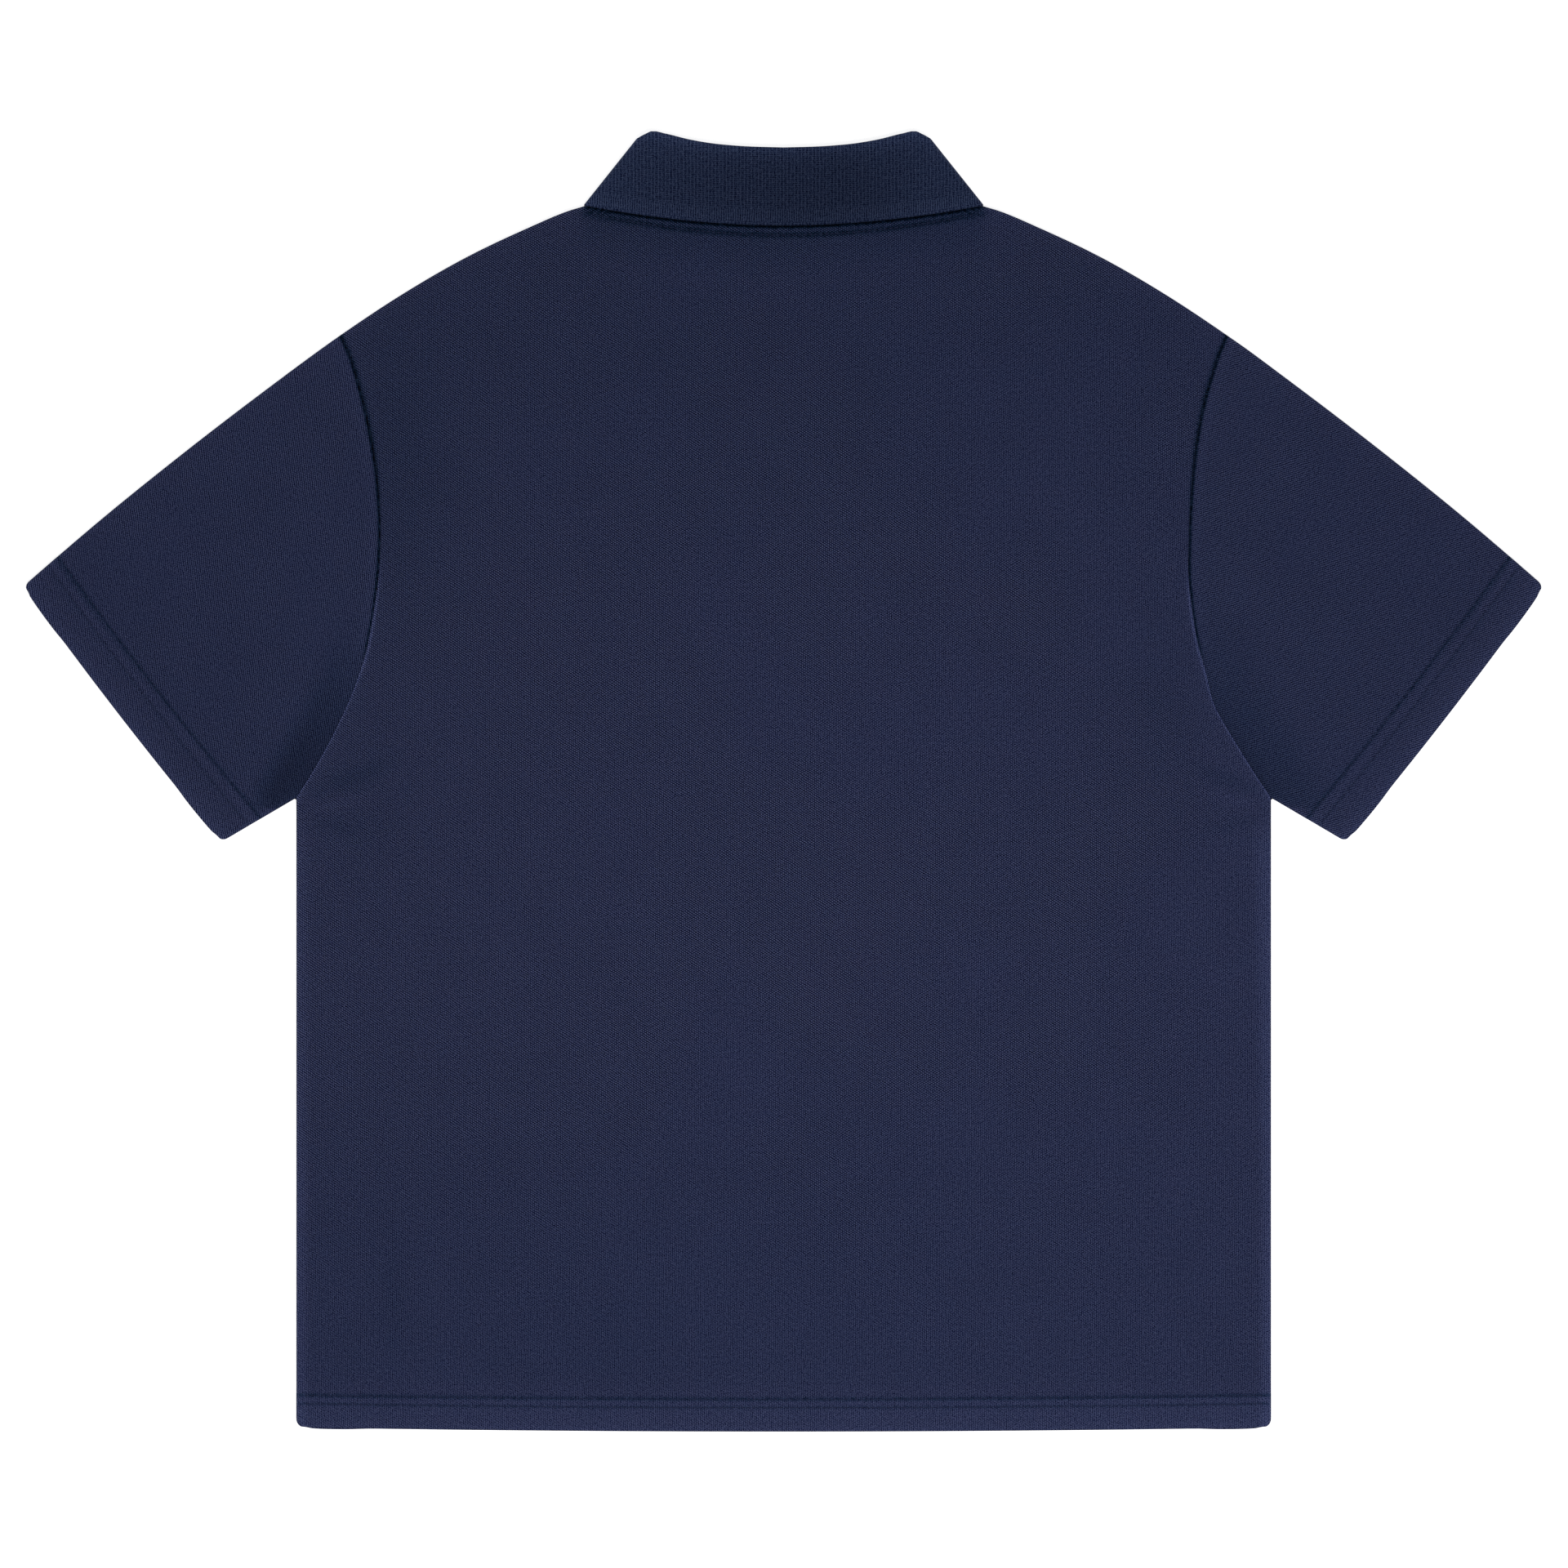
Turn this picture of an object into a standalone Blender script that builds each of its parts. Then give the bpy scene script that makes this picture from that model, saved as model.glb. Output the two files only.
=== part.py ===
"""A short-sleeved polo shirt that lies flat on its front: +X to its side, +Y towards the collar, +Z up.

Each piece that is cut and sewn is one object. Its cloth is an open surface, the outside of the
garment, with a Solidify modifier that grows the wall inwards. A garment lying flat has a lower and an
upper layer: levels() gives the height of both at any place, so the pieces meet at their seams.
"""

import math

import bmesh
import bpy
import numpy as np

MM = 0.001  # Blender works in metres, and every size below is in millimetres.

# Cloth
WALL = 1.2
HEM_WALL = 1.9
KNIT_WALL = 1.4
GAP = 0.3  # between pieces at a seam

# Body
CHEST_WIDTH = 561.0
HEM_CENTRE_Y = -374.4
HEM_RISE = 2.4  # of the hem at the sides
HEM_BAND = 18.0
HEM_STEP = 4.0  # width over which a hem thins to the single cloth
CORNER_RADIUS = 5.0
UNDERARM_Y = -9.6
SHOULDER_TIP = (255.5, 256.4)
NECK_POINT = (100.0, 337.5)
BACK_NECK_Y = 327.5
FRONT_NECK_Y = 252.0
FRONT_NECK_POWER = 2.6

# Sleeve
CUFF_LOW = (324.2, -35.4)
CUFF_HIGH = (438.2, 111.7)
CUFF_BOW = 1.7
CUFF_RADIUS = 4.0
SLEEVE_BAND = 25.0

# Collar
COLLAR_SEAM_SIDE = (98.5, 338.0)
COLLAR_SIDE_CORNER = (115.2, 331.4)
COLLAR_POINT = (60.0, 226.0)
FALL_BACK_Y = 319.8
FALL_EDGE_POWER = 1.9
FRONT_STAND = 14.0
FRONT_END_X = 1.5
FRONT_ROLL_POWER = 1.9
ROLL_RADIUS = 2.1

# Placket and buttons
PLACKET_HALF_WIDTH = 17.0
UNDER_HALF_WIDTH = 15.0
PLACKET_END_SIDE_Y = 94.0  # of the row where the slot ends, at the armhole
PLACKET_END_GAP = 1.1
BUTTON_RADIUS = 5.75
BUTTON_THICKNESS = 2.0
BUTTON_SIDES = 24
BUTTON_RIM = 0.5
THREAD_HOLE_RADIUS = 0.9
THREAD_HOLE_RING = 1.7
THREAD_HOLE_SIDES = 8
THREAD_HOLES = 4
TOP_BUTTON_Y = 238.0
BUTTON_SPACING = 62.0
BUTTON_COUNT = 3

# Heights of the two layers above the surface that the shirt lies on
SLACK = 0.1
ON_LINE = 0.01  # places this near a line count as on it
LIFT = BUTTON_THICKNESS + GAP
FLAT_HEIGHT = 2 * WALL + GAP
NECK_HEIGHT = LIFT + 3 * WALL + 2 * GAP + SLACK
EDGE_RISE = 1.3  # of the upper layer along its folded outline
EDGE_REACH = 35.0
LIFT_MARGIN = 18.0  # around the collar's leaves and the placket
LIFT_SKIRT = 35.0
BACK_SKIRT = 85.0
FOLD_POWER = 3.5
NECK_POINT_OPENING = 2.6
NECK_POINT_REACH = 1.0
STAND_BACK_HEIGHT = NECK_HEIGHT - WALL / 2 - KNIT_WALL / 2
STAND_FRONT_HEIGHT = LIFT + WALL / 2 + KNIT_WALL / 2
FALL_EDGE_HEIGHT = NECK_HEIGHT + GAP + SLACK + KNIT_WALL

# How the outline of the armhole, the shoulder and the roll of the collar runs, on the side of +X
ARMHOLE = (
    # y, half width
    (-9.6, 280.5),
    (4.5, 271.6),
    (26.6, 259.4),
    (50.0, 248.6),
    (64.0, 243.6),
    (94.7, 236.9),
    (137.0, 232.9),
    (172.0, 234.3),
    (200.5, 238.6),
    (228.7, 245.3),
    (246.0, 250.7),
    (256.4, 255.5),
)
SHOULDER = (
    # x, y
    (100.0, 337.5),
    (112.8, 330.6),
    (121.5, 328.7),
    (148.0, 318.0),
    (187.0, 299.2),
    (219.3, 280.4),
    (255.5, 256.4),
    (299.7, 224.0),
    (348.6, 186.4),
    (395.1, 148.8),
    (428.0, 120.6),
    (438.2, 111.7),
)
FALL_TOP = (
    # x, y
    (0.0, 362.5),
    (28.0, 363.5),
    (42.0, 364.8),
    (56.0, 367.2),
    (68.0, 370.4),
    (76.0, 372.9),
    (83.5, 370.2),
)
STAND_TOP = (
    # x, y
    (0.0, 362.5),
    (28.0, 363.5),
    (42.0, 364.8),
    (56.0, 367.2),
    (68.0, 370.2),
    (75.0, 371.2),
    (80.4, 367.7),
)

# Where the grid lines of the cloth run
FOLD_RADIUS = 2.0
FOLD_STEPS = (0.0, 0.009, 0.2, 1.0)  # share of the fold's radius, in from the outline
HEM_STEPS = (0.0, 1.5, 5.0, HEM_BAND, HEM_BAND + HEM_STEP)
SIDE_ROWS = (-300.0, -210.0, -120.0, -50.0, -9.6, -8.9, -6.1)
ARMHOLE_ROWS = (8.0, 30.0, 52.0, 73.0, 94.0, 116.0, 137.0, 163.0, 188.0, 211.0, 231.0, 246.0)
INNER_COLUMNS = (17.3, 40.0, 62.0, 80.0, 90.0, 98.0, 100.0)
STRAIGHT_HALF_WIDTH = 112.0
OUTER_SHARES = (0.0, 0.33, 0.7)
EDGE_COLUMN = 30.0
FLAT_INSETS = (0.0, 4.0, 9.0, 16.0)
INSET_CHANGE = 25.0  # height above the underarm over which the fold's columns spread to flat ones
NECK_INSETS = (0.0, 2.0, 4.5, 8.0)
SLEEVE_SHARES = (0.0, 0.12, 0.35, 0.6, 0.82)
CUFF_STEPS = (SLEEVE_BAND + HEM_STEP, SLEEVE_BAND, 4.0, 1.2, 0.0)
CUFF_MIDDLE = (0.06, 0.94)
COLLAR_BACK = tuple(x / COLLAR_SEAM_SIDE[0] for x in INNER_COLUMNS[:-2])
COLLAR_FRONT = tuple(
    (COLLAR_SEAM_SIDE[0] - x) / (COLLAR_SEAM_SIDE[0] - FRONT_END_X)
    for x in INNER_COLUMNS[-3::-1] + (FRONT_END_X,)
)
COLLAR_SIDE_STEPS = (1.0, 0.25)
ROLL_ANGLES = (45.0, 90.0, 135.0)
STAND_SHARES = (0.0, 0.5)
FALL_SHARES = (0.33, 0.67, 1.0)
FALL_SETTLE = 1.3  # how soon the fall reaches the height of its edge
COLLAR_FRONT_REACH = 120.0
SIDE_BEND_POWER = 12

CLOTH_ROUGHNESS = 0.9
BUTTON_ROUGHNESS = 0.35
NAVY = (0.0232, 0.0262, 0.0612, 1.0)
NAVY_KNIT = (0.0122, 0.0152, 0.0359, 1.0)
NAVY_BUTTON = (0.0152, 0.0176, 0.0395, 1.0)


def ease(share):
    share = np.clip(share, 0.0, 1.0)
    return share * share * (3.0 - 2.0 * share)


def curve(table):
    """A smooth function through the rows of a table."""
    across, along = np.array(table).T
    slopes = np.gradient(along, across)

    def at(place):
        row = np.clip(np.searchsorted(across, place, side="right") - 1, 0, len(across) - 2)
        width = across[row + 1] - across[row]
        t = np.clip((place - across[row]) / width, 0.0, 1.0)
        start = (1 + 2 * t) * (1 - t) ** 2 * along[row] + t * (1 - t) ** 2 * width * slopes[row]
        end = t * t * (3 - 2 * t) * along[row + 1] + t * t * (t - 1) * width * slopes[row + 1]
        return start + end

    return at


def corner_inset(distance, radius):
    """How far a rounded corner draws the outline in, this far from the edge."""
    reach = np.clip(radius - np.asarray(distance, float), 0.0, radius)
    return radius - np.sqrt(radius**2 - reach**2)


armhole = curve(ARMHOLE)
shoulder = curve(SHOULDER)
fall_top = curve(FALL_TOP)
stand_top = curve(STAND_TOP)


def hem(x):
    return HEM_CENTRE_Y + HEM_RISE * (np.abs(x) / (CHEST_WIDTH / 2)) ** 2


def half_width(y):
    side = CHEST_WIDTH / 2 - corner_inset(y - hem(CHEST_WIDTH / 2), CORNER_RADIUS)
    return np.where(y < UNDERARM_Y, side, armhole(y))


def back_neck(x):
    return BACK_NECK_Y + (NECK_POINT[1] - BACK_NECK_Y) * (np.abs(x) / NECK_POINT[0]) ** 2


def front_neck(x):
    depth = NECK_POINT[1] - FRONT_NECK_Y
    return FRONT_NECK_Y + depth * (np.abs(x) / NECK_POINT[0]) ** FRONT_NECK_POWER


# ---- The sleeve's plan ----


def sleeve_length(around):
    """From armhole to cuff, at a share of the way from the underarm up to the shoulder."""
    start = sleeve_armhole(around)
    end = sleeve_cuff(around)
    return np.hypot(end[..., 0] - start[..., 0], end[..., 1] - start[..., 1])


def sleeve_armhole(around):
    y = UNDERARM_Y + around * (SHOULDER_TIP[1] - UNDERARM_Y)
    return np.stack([armhole(y), y], axis=-1)


def sleeve_cuff(around):
    low, high = np.array(CUFF_LOW), np.array(CUFF_HIGH)
    outward = np.array([high[1] - low[1], low[0] - high[0]]) / np.hypot(*(high - low))
    share = np.asarray(around)[..., None]
    return low + share * (high - low) + 4 * share * (1 - share) * CUFF_BOW * outward


def sleeve_plan(around, along):
    """A place on the sleeve, from the four lines that bound it."""
    around, along = np.broadcast_arrays(np.asarray(around, float), np.asarray(along, float))
    top_x = SHOULDER_TIP[0] + along * (CUFF_HIGH[0] - SHOULDER_TIP[0])
    top = np.stack([top_x, shoulder(top_x)], axis=-1)
    start, end = sleeve_armhole(np.array(0.0)), np.array(CUFF_LOW)
    a, s = around[..., None], along[..., None]
    under = start + s * (end - start)
    sides = (1 - s) * sleeve_armhole(around) + s * sleeve_cuff(around) + (1 - a) * under + a * top
    tip, high = np.array(SHOULDER_TIP), np.array(CUFF_HIGH)
    corners = (1 - a) * ((1 - s) * start + s * end) + a * ((1 - s) * tip + s * high)
    return sides - corners


# ---- Heights of the two layers ----


def folded_outline():
    """The line where the upper layer turns over to the lower one, in three runs on the side of +X."""
    y = np.concatenate([hem(CHEST_WIDTH / 2) + np.linspace(0, CORNER_RADIUS, 9), [UNDERARM_Y]])
    side = np.stack([half_width(y), y], axis=-1)
    side[-1, 0] = CHEST_WIDTH / 2
    down = np.linspace(CUFF_RADIUS, 0, 9)
    inset = corner_inset(down, CUFF_RADIUS)
    cuff_width = math.dist(CUFF_LOW, CUFF_HIGH)
    under_along = np.concatenate([[0.0], 1 - down / sleeve_length(0.0)])
    under = sleeve_plan(np.concatenate([[0.0], inset / cuff_width]), under_along)
    top_along = np.concatenate([np.linspace(0, 0.97, 60), 1 - down / sleeve_length(1.0)])
    top = sleeve_plan(np.concatenate([np.ones(60), 1 - inset / cuff_width]), top_along)
    shoulder_x = np.linspace(NECK_POINT[0], SHOULDER_TIP[0], 60)
    upper = np.concatenate([np.stack([shoulder_x, shoulder(shoulder_x)], axis=-1), top])
    return side, under, upper


def fold_distance(x, y, runs=folded_outline()):
    """How far a place lies in from the folded outline."""
    place = np.stack(np.broadcast_arrays(np.abs(x), y), axis=-1)[..., None, :]
    nearest = np.full(place.shape[:-2], np.inf)
    for run in runs:
        start, step = run[:-1], np.diff(run, axis=0)
        share = ((place - start) * step).sum(-1) / np.maximum((step**2).sum(-1), 1e-12)
        foot = start + np.clip(share, 0, 1)[..., None] * step
        nearest = np.minimum(nearest, np.linalg.norm(place - foot, axis=-1).min(-1))
    return np.where(nearest < ON_LINE, 0.0, nearest)


def neck_distance(x, y):
    """How far a place lies outside the spread of the collar's front leaves."""
    across, up = np.array(COLLAR_SIDE_CORNER) - np.array(COLLAR_POINT)
    length = math.hypot(across, up)
    beside = ((np.abs(x) - COLLAR_POINT[0]) * up - (y - COLLAR_POINT[1]) * across) / length
    return np.maximum(np.maximum(beside, COLLAR_POINT[1] - y), 0.0)


def placket_distance(x, y):
    """How far a place lies outside the placket."""
    beside = np.maximum(np.abs(x) - PLACKET_HALF_WIDTH, 0.0)
    return np.hypot(beside, np.maximum(PLACKET_END_SIDE_Y - y, 0.0))


def raised(x, y, skirt):
    """1 over the collar's leaves and the placket, and 0 at the foot of the skirt around them."""
    over_leaves = 1 - ease((neck_distance(x, y) - LIFT_MARGIN) / skirt)
    over_placket = 1 - ease((placket_distance(x, y) - LIFT_MARGIN) / skirt)
    return over_leaves + over_placket - over_leaves * over_placket


def in_hem(x, y):
    """1 in the turned-up hems of body and sleeves, and 0 above them."""
    low, high = np.array(CUFF_LOW), np.array(CUFF_HIGH)
    inward = np.array([low[1] - high[1], high[0] - low[0]]) / np.hypot(*(high - low))
    from_cuff = (np.abs(x) - low[0]) * inward[0] + (y - low[1]) * inward[1]
    sleeve = 1 - ease((from_cuff - SLEEVE_BAND) / HEM_STEP)
    body = 1 - ease((y - hem(x) - HEM_BAND) / HEM_STEP)
    return np.where(np.abs(x) > CHEST_WIDTH / 2 + SLACK, sleeve, body)


def levels(x, y):
    """The heights of the garment's outside at a place: of its lower layer and of its upper one."""
    edge = fold_distance(x, y)
    near_neck = raised(x, y, BACK_SKIRT)
    lower = LIFT * raised(x, y, LIFT_SKIRT)
    upper = FLAT_HEIGHT + (NECK_HEIGHT - FLAT_HEIGHT) * near_neck
    upper = upper + EDGE_RISE * (1 - ease(edge / EDGE_REACH)) * (1 - near_neck)
    upper = upper + 2 * (HEM_WALL - WALL) * in_hem(x, y)
    middle, radius = (upper + lower) / 2, (upper - lower) / 2
    share = np.clip(edge / radius, 0.0, 1.0)
    height = radius * (1 - (1 - share) ** FOLD_POWER) ** (1 / FOLD_POWER)
    return middle - height, middle + height


# ---- Meshes ----


def material(name, colour, roughness):
    made = bpy.data.materials.new(name)
    made.use_nodes = True
    shader = made.node_tree.nodes["Principled BSDF"]
    shader.inputs["Base Color"].default_value = colour
    shader.inputs["Roughness"].default_value = roughness
    return made


def cloth(name, points, wall, finish, flip=False, tube=False, thick=None, cut=None):
    """A sheet through a grid of points in rows and columns, with its wall on the inside.

    thick gives each point's share of the hem's wall, and cut says which cells are left out."""
    rows, columns = points.shape[:2]
    mesh = bpy.data.meshes.new(name)
    work = bmesh.new()
    bmesh.ops.create_grid(work, x_segments=columns - 1, y_segments=rows - 1, size=1.0)
    work.verts.ensure_lookup_table()
    for vert in work.verts:
        column = round((vert.co.x + 1) / 2 * (columns - 1))
        row = round((vert.co.y + 1) / 2 * (rows - 1))
        vert.co = points[row, column] * MM
    if cut is not None:
        doomed = [face for face in work.faces if cut[divmod(face.index, columns - 1)]]
        bmesh.ops.delete(work, geom=doomed, context="FACES")
    if flip:
        bmesh.ops.reverse_faces(work, faces=work.faces)
    if thick is not None:
        layer = work.verts.layers.deform.new()
        for vert, share in zip(work.verts, thick.ravel()):
            vert[layer][0] = share
    if tube:
        bmesh.ops.remove_doubles(work, verts=work.verts, dist=1e-6)
    work.to_mesh(mesh)
    work.free()
    mesh.shade_smooth()
    mesh.materials.append(finish)
    piece = bpy.data.objects.new(name, mesh)
    solidify = piece.modifiers.new("Wall", "SOLIDIFY")
    solidify.thickness = wall * MM
    solidify.offset = -1.0
    if thick is not None:
        piece.vertex_groups.new(name="hem")
        solidify.thickness = HEM_WALL * MM
        solidify.vertex_group = "hem"
        solidify.thickness_vertex_group = wall / HEM_WALL
    return piece


def mirrored(points):
    return points * np.array([-1.0, 1.0, 1.0])


def mirrored_columns(half):
    """Columns from left to right, from those on the side of +X."""
    return np.concatenate([-half[::-1], half])


def fold_insets():
    return FOLD_RADIUS * np.array(FOLD_STEPS)


def panel_columns(width, y):
    """The x of each column on the side of +X, where the panel is this wide and its side lies at y."""
    above = ease((y - UNDERARM_Y) / INSET_CHANGE)
    insets = (1 - above) * fold_insets() + above * np.array(FLAT_INSETS)
    edge = width - EDGE_COLUMN
    outer = STRAIGHT_HALF_WIDTH + np.array(OUTER_SHARES) * (edge - STRAIGHT_HALF_WIDTH)
    return np.concatenate([INNER_COLUMNS, outer, [edge], width - insets[::-1]])


def panel_top(x, width, neck):
    """The y of a panel's top edge above a place x, in a row where the panel is this wide."""
    stretch = (SHOULDER_TIP[0] - STRAIGHT_HALF_WIDTH) / (width - STRAIGHT_HALF_WIDTH)
    beyond = np.maximum(np.abs(x) - STRAIGHT_HALF_WIDTH, 0.0)
    top_x = np.abs(x) - beyond + beyond * stretch
    return np.where(top_x < NECK_POINT[0], neck(top_x), shoulder(top_x))


def panel_plan(neck):
    """The plan of a body panel, row by row from its hem to its top, where neck is its neckline."""
    tip_y = SHOULDER_TIP[1]
    side_hem = hem(CHEST_WIDTH / 2)
    rows = [(side_hem + step, "hem", step) for step in HEM_STEPS]
    rows += [(y, "side", (y - side_hem) / (tip_y - side_hem)) for y in SIDE_ROWS + ARMHOLE_ROWS]
    rows += [(tip_y - inset, "top", index) for index, inset in reversed(list(enumerate(fold_insets())))]
    plan = []
    for side_y, kind, place in rows:
        width = float(half_width(side_y))
        x = mirrored_columns(panel_columns(width, side_y))
        top_y = panel_top(x, width, neck)
        if kind == "hem":
            y = hem(x) + place
        elif kind == "side":
            y = hem(x) + (top_y - hem(x)) * place
        else:
            on_neck = np.abs(x) < NECK_POINT[0] - ON_LINE
            y = top_y - np.where(on_neck, NECK_INSETS[place], fold_insets()[place])
        plan.append(np.stack([x, y], axis=-1))
    return np.array(plan)


def body_panel(name, neck, finish, front):
    plan = panel_plan(neck)
    x, y = plan[..., 0], plan[..., 1]
    lower, upper = levels(x, y)
    from_neck_point = np.hypot(np.abs(x) - NECK_POINT[0], y - NECK_POINT[1])
    opening = np.where(from_neck_point < NECK_POINT_REACH, NECK_POINT_OPENING / 2, GAP / 2)
    half = np.maximum((upper - lower) / 2, opening)
    middle = (upper + lower) / 2
    points = np.stack([x, y, middle - half if front else middle + half], axis=-1)
    thick = (in_hem(x, y) > 0.5).astype(float)
    cut = None
    if front:
        rows, columns = plan.shape[:2]
        cut = np.zeros((rows - 1, columns - 1), bool)
        cut[placket_row() :, columns // 2 - 1] = True
    return cloth(name, points, WALL, finish, flip=front, thick=thick, cut=cut)


def placket_row():
    """The row of the front panel where the slot for the placket ends."""
    return len(HEM_STEPS) + (SIDE_ROWS + ARMHOLE_ROWS).index(PLACKET_END_SIDE_Y)


def placket(name, half, above, finish):
    """A strip in the front's slot, this far above the front panel's own outside."""
    plan = panel_plan(front_neck)
    x = np.linspace(-half, half, 4)
    y = np.repeat(plan[placket_row() :, plan.shape[1] // 2, 1:], len(x), axis=1)
    y[0] += PLACKET_END_GAP
    y[-1] = front_neck(x)
    x = np.broadcast_to(x, y.shape)
    height = levels(x, y)[0] + above
    return cloth(name, np.stack([x, y, height], axis=-1), WALL, finish, flip=True)


def armhole_shares():
    """Where the sleeve's grid lines leave the armhole, as shares from the underarm to the shoulder."""
    rise = SHOULDER_TIP[1] - UNDERARM_Y
    rows = [y for y in SIDE_ROWS + ARMHOLE_ROWS if y > UNDERARM_Y]
    tip = SHOULDER_TIP[1] - fold_insets()[:0:-1]
    return np.concatenate([[0.0], (np.array([*rows, *tip]) - UNDERARM_Y) / rise, [1.0]])


def cuff_shares():
    """Where the same grid lines reach the cuff."""
    fold = fold_insets()[1:] / math.dist(CUFF_LOW, CUFF_HIGH)
    middle = np.linspace(*CUFF_MIDDLE, len(armhole_shares()) - 2 * len(fold) - 2)
    return np.concatenate([[0.0], fold, middle, 1 - fold[::-1], [1.0]])


def sleeve_half_ring(share):
    """A row of the sleeve's upper layer, at a share of the way from the armhole to the hem."""
    around = (1 - share) * armhole_shares() + share * cuff_shares()
    return sleeve_plan(around, share * (1 - CUFF_STEPS[0] / sleeve_length(around)))


def cuff_half_ring(distance):
    """A row of the sleeve's upper layer, this far from the cuff's edge."""
    inset = corner_inset(distance, CUFF_RADIUS) / math.dist(CUFF_LOW, CUFF_HIGH)
    around = inset + (1 - 2 * inset) * cuff_shares()
    return sleeve_plan(around, 1 - distance / sleeve_length(around))


def clear_of_armhole(row):
    """The sleeve's first row, moved off the armhole by the gap."""
    slope = np.gradient(row[:, 0], row[:, 1])
    outward = np.stack([np.ones_like(slope), -slope], axis=-1) / np.hypot(1.0, slope)[:, None]
    return row + GAP * outward


def sleeve_points():
    """Rings around the sleeve: over its upper layer from underarm to shoulder, and back below."""
    rows = [sleeve_half_ring(share) for share in SLEEVE_SHARES]
    rows += [cuff_half_ring(distance) for distance in CUFF_STEPS]
    rows[0] = clear_of_armhole(rows[0])
    x, y = np.moveaxis(np.array(rows), -1, 0)
    lower, upper = levels(x, y)
    middle = (lower + upper) / 2
    for layer in (lower, upper):
        layer[:, [0, -1]] = middle[:, [0, -1]]
    over = np.stack([x, y, upper], axis=-1)
    under = np.stack([x, y, lower], axis=-1)
    return np.concatenate([over, under[:, -2::-1]], axis=1)


def sleeve(name, finish, left):
    points = sleeve_points()
    thick = np.zeros(points.shape[:2])
    thick[len(SLEEVE_SHARES) + 1 :] = 1.0
    if left:
        points = mirrored(points)
    return cloth(name, points, WALL, finish, flip=not left, tube=True, thick=thick)


# ---- Collar ----


def neck_seam(x, front):
    """A place on the collar's seam, clear of the panel's neckline by the gap."""
    if not front:
        return x, float(back_neck(x)) + GAP
    slope = (front_neck(x + ON_LINE) - front_neck(x - ON_LINE)) / (2 * ON_LINE)
    length = math.hypot(1.0, slope)
    return x - GAP * slope / length, float(front_neck(x)) + GAP / length


def seam_line(front, share):
    """share runs from the centre back (0) to the side (1), or from the side (0) to the front end (1)."""
    side_x, side_y = COLLAR_SEAM_SIDE
    if front:
        x, y = neck_seam(side_x + (FRONT_END_X - side_x) * share, True)
        to_side = (1 - share) ** SIDE_BEND_POWER
    else:
        x, y = neck_seam(side_x * share, False)
        to_side = share**SIDE_BEND_POWER
    start_x, start_y = neck_seam(side_x, front)
    return x + (side_x - start_x) * to_side, y + (side_y - start_y) * to_side


def roll_line(table, at, front, share):
    side_x, side_y = table[-1]
    if not front:
        return side_x * share, float(at(side_x * share))
    end_y = FRONT_NECK_Y + FRONT_STAND - ROLL_RADIUS
    x = side_x + (FRONT_END_X - side_x) * share
    return x, end_y + (side_y - end_y) * (x / side_x) ** FRONT_ROLL_POWER


def stand_roll(front, share):
    return roll_line(STAND_TOP, stand_top, front, share)


def fall_roll(front, share):
    return roll_line(FALL_TOP, fall_top, front, share)


def fall_edge(front, share):
    corner_x, corner_y = COLLAR_SIDE_CORNER
    if front:
        end_x, end_y = COLLAR_POINT
        return corner_x + (end_x - corner_x) * share, corner_y + (end_y - corner_y) * share
    return corner_x * share, FALL_BACK_Y + (corner_y - FALL_BACK_Y) * share**FALL_EDGE_POWER


COLLAR_LINES = (
    # plan, height at the back, height at the front
    (seam_line, STAND_BACK_HEIGHT, STAND_FRONT_HEIGHT),
    (stand_roll, STAND_BACK_HEIGHT, 2 * ROLL_RADIUS),
    (fall_roll, STAND_BACK_HEIGHT + 2 * ROLL_RADIUS, 0.0),
    (fall_edge, FALL_EDGE_HEIGHT, 0.0),
)


def line_point(line, kind, value):
    """A place on one line of the collar: at its back, at its front, or in the bend between them."""
    plan, back, front = line
    middle, radius = (back + front) / 2, (back - front) / 2
    rise = radius * (1 - (1 - value) ** FOLD_POWER) ** (1 / FOLD_POWER)
    if kind == "back":
        return np.array([*plan(False, value), back])
    if kind == "side back":
        return np.array([*plan(False, 1 - value * radius / plan(False, 1.0)[0]), middle + rise])
    if kind == "side":
        return np.array([*plan(False, 1.0), middle])
    if kind == "side front":
        return np.array([*plan(True, value * radius / COLLAR_FRONT_REACH), middle - rise])
    return np.array([*plan(True, value), front])


def collar_section(kind, value):
    """Across the collar at one place: up the stand, over the roll, down the fall."""
    seam, stand, fall, edge = (line_point(line, kind, value) for line in COLLAR_LINES)
    middle, arm = (stand + fall) / 2, (fall - stand) / 2
    up = (middle - (seam + edge) / 2) * np.array([1.0, 1.0, 0.0])
    up = up / np.linalg.norm(up) * np.linalg.norm(arm)
    section = [seam + (stand - seam) * share for share in STAND_SHARES]
    section.append(stand)
    for angle in ROLL_ANGLES:
        turn = math.radians(angle)
        section.append(middle - arm * math.cos(turn) + up * math.sin(turn))
    section.append(fall)
    for share in FALL_SHARES:
        point = fall + (edge - fall) * share
        point[2] = fall[2] + (edge[2] - fall[2]) * ease(share * FALL_SETTLE)
        section.append(point)
    return section


def collar(name, finish):
    sections = [("back", share) for share in COLLAR_BACK]
    sections += [("side back", step) for step in COLLAR_SIDE_STEPS]
    sections += [("side", 0.0)]
    sections += [("side front", step) for step in reversed(COLLAR_SIDE_STEPS)]
    sections += [("front", share) for share in COLLAR_FRONT]
    half = np.array([collar_section(kind, value) for kind, value in sections])
    points = np.concatenate([mirrored(half[::-1]), half]).transpose(1, 0, 2)
    return cloth(name, points, KNIT_WALL, finish, flip=True)


# ---- Buttons ----


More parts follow.
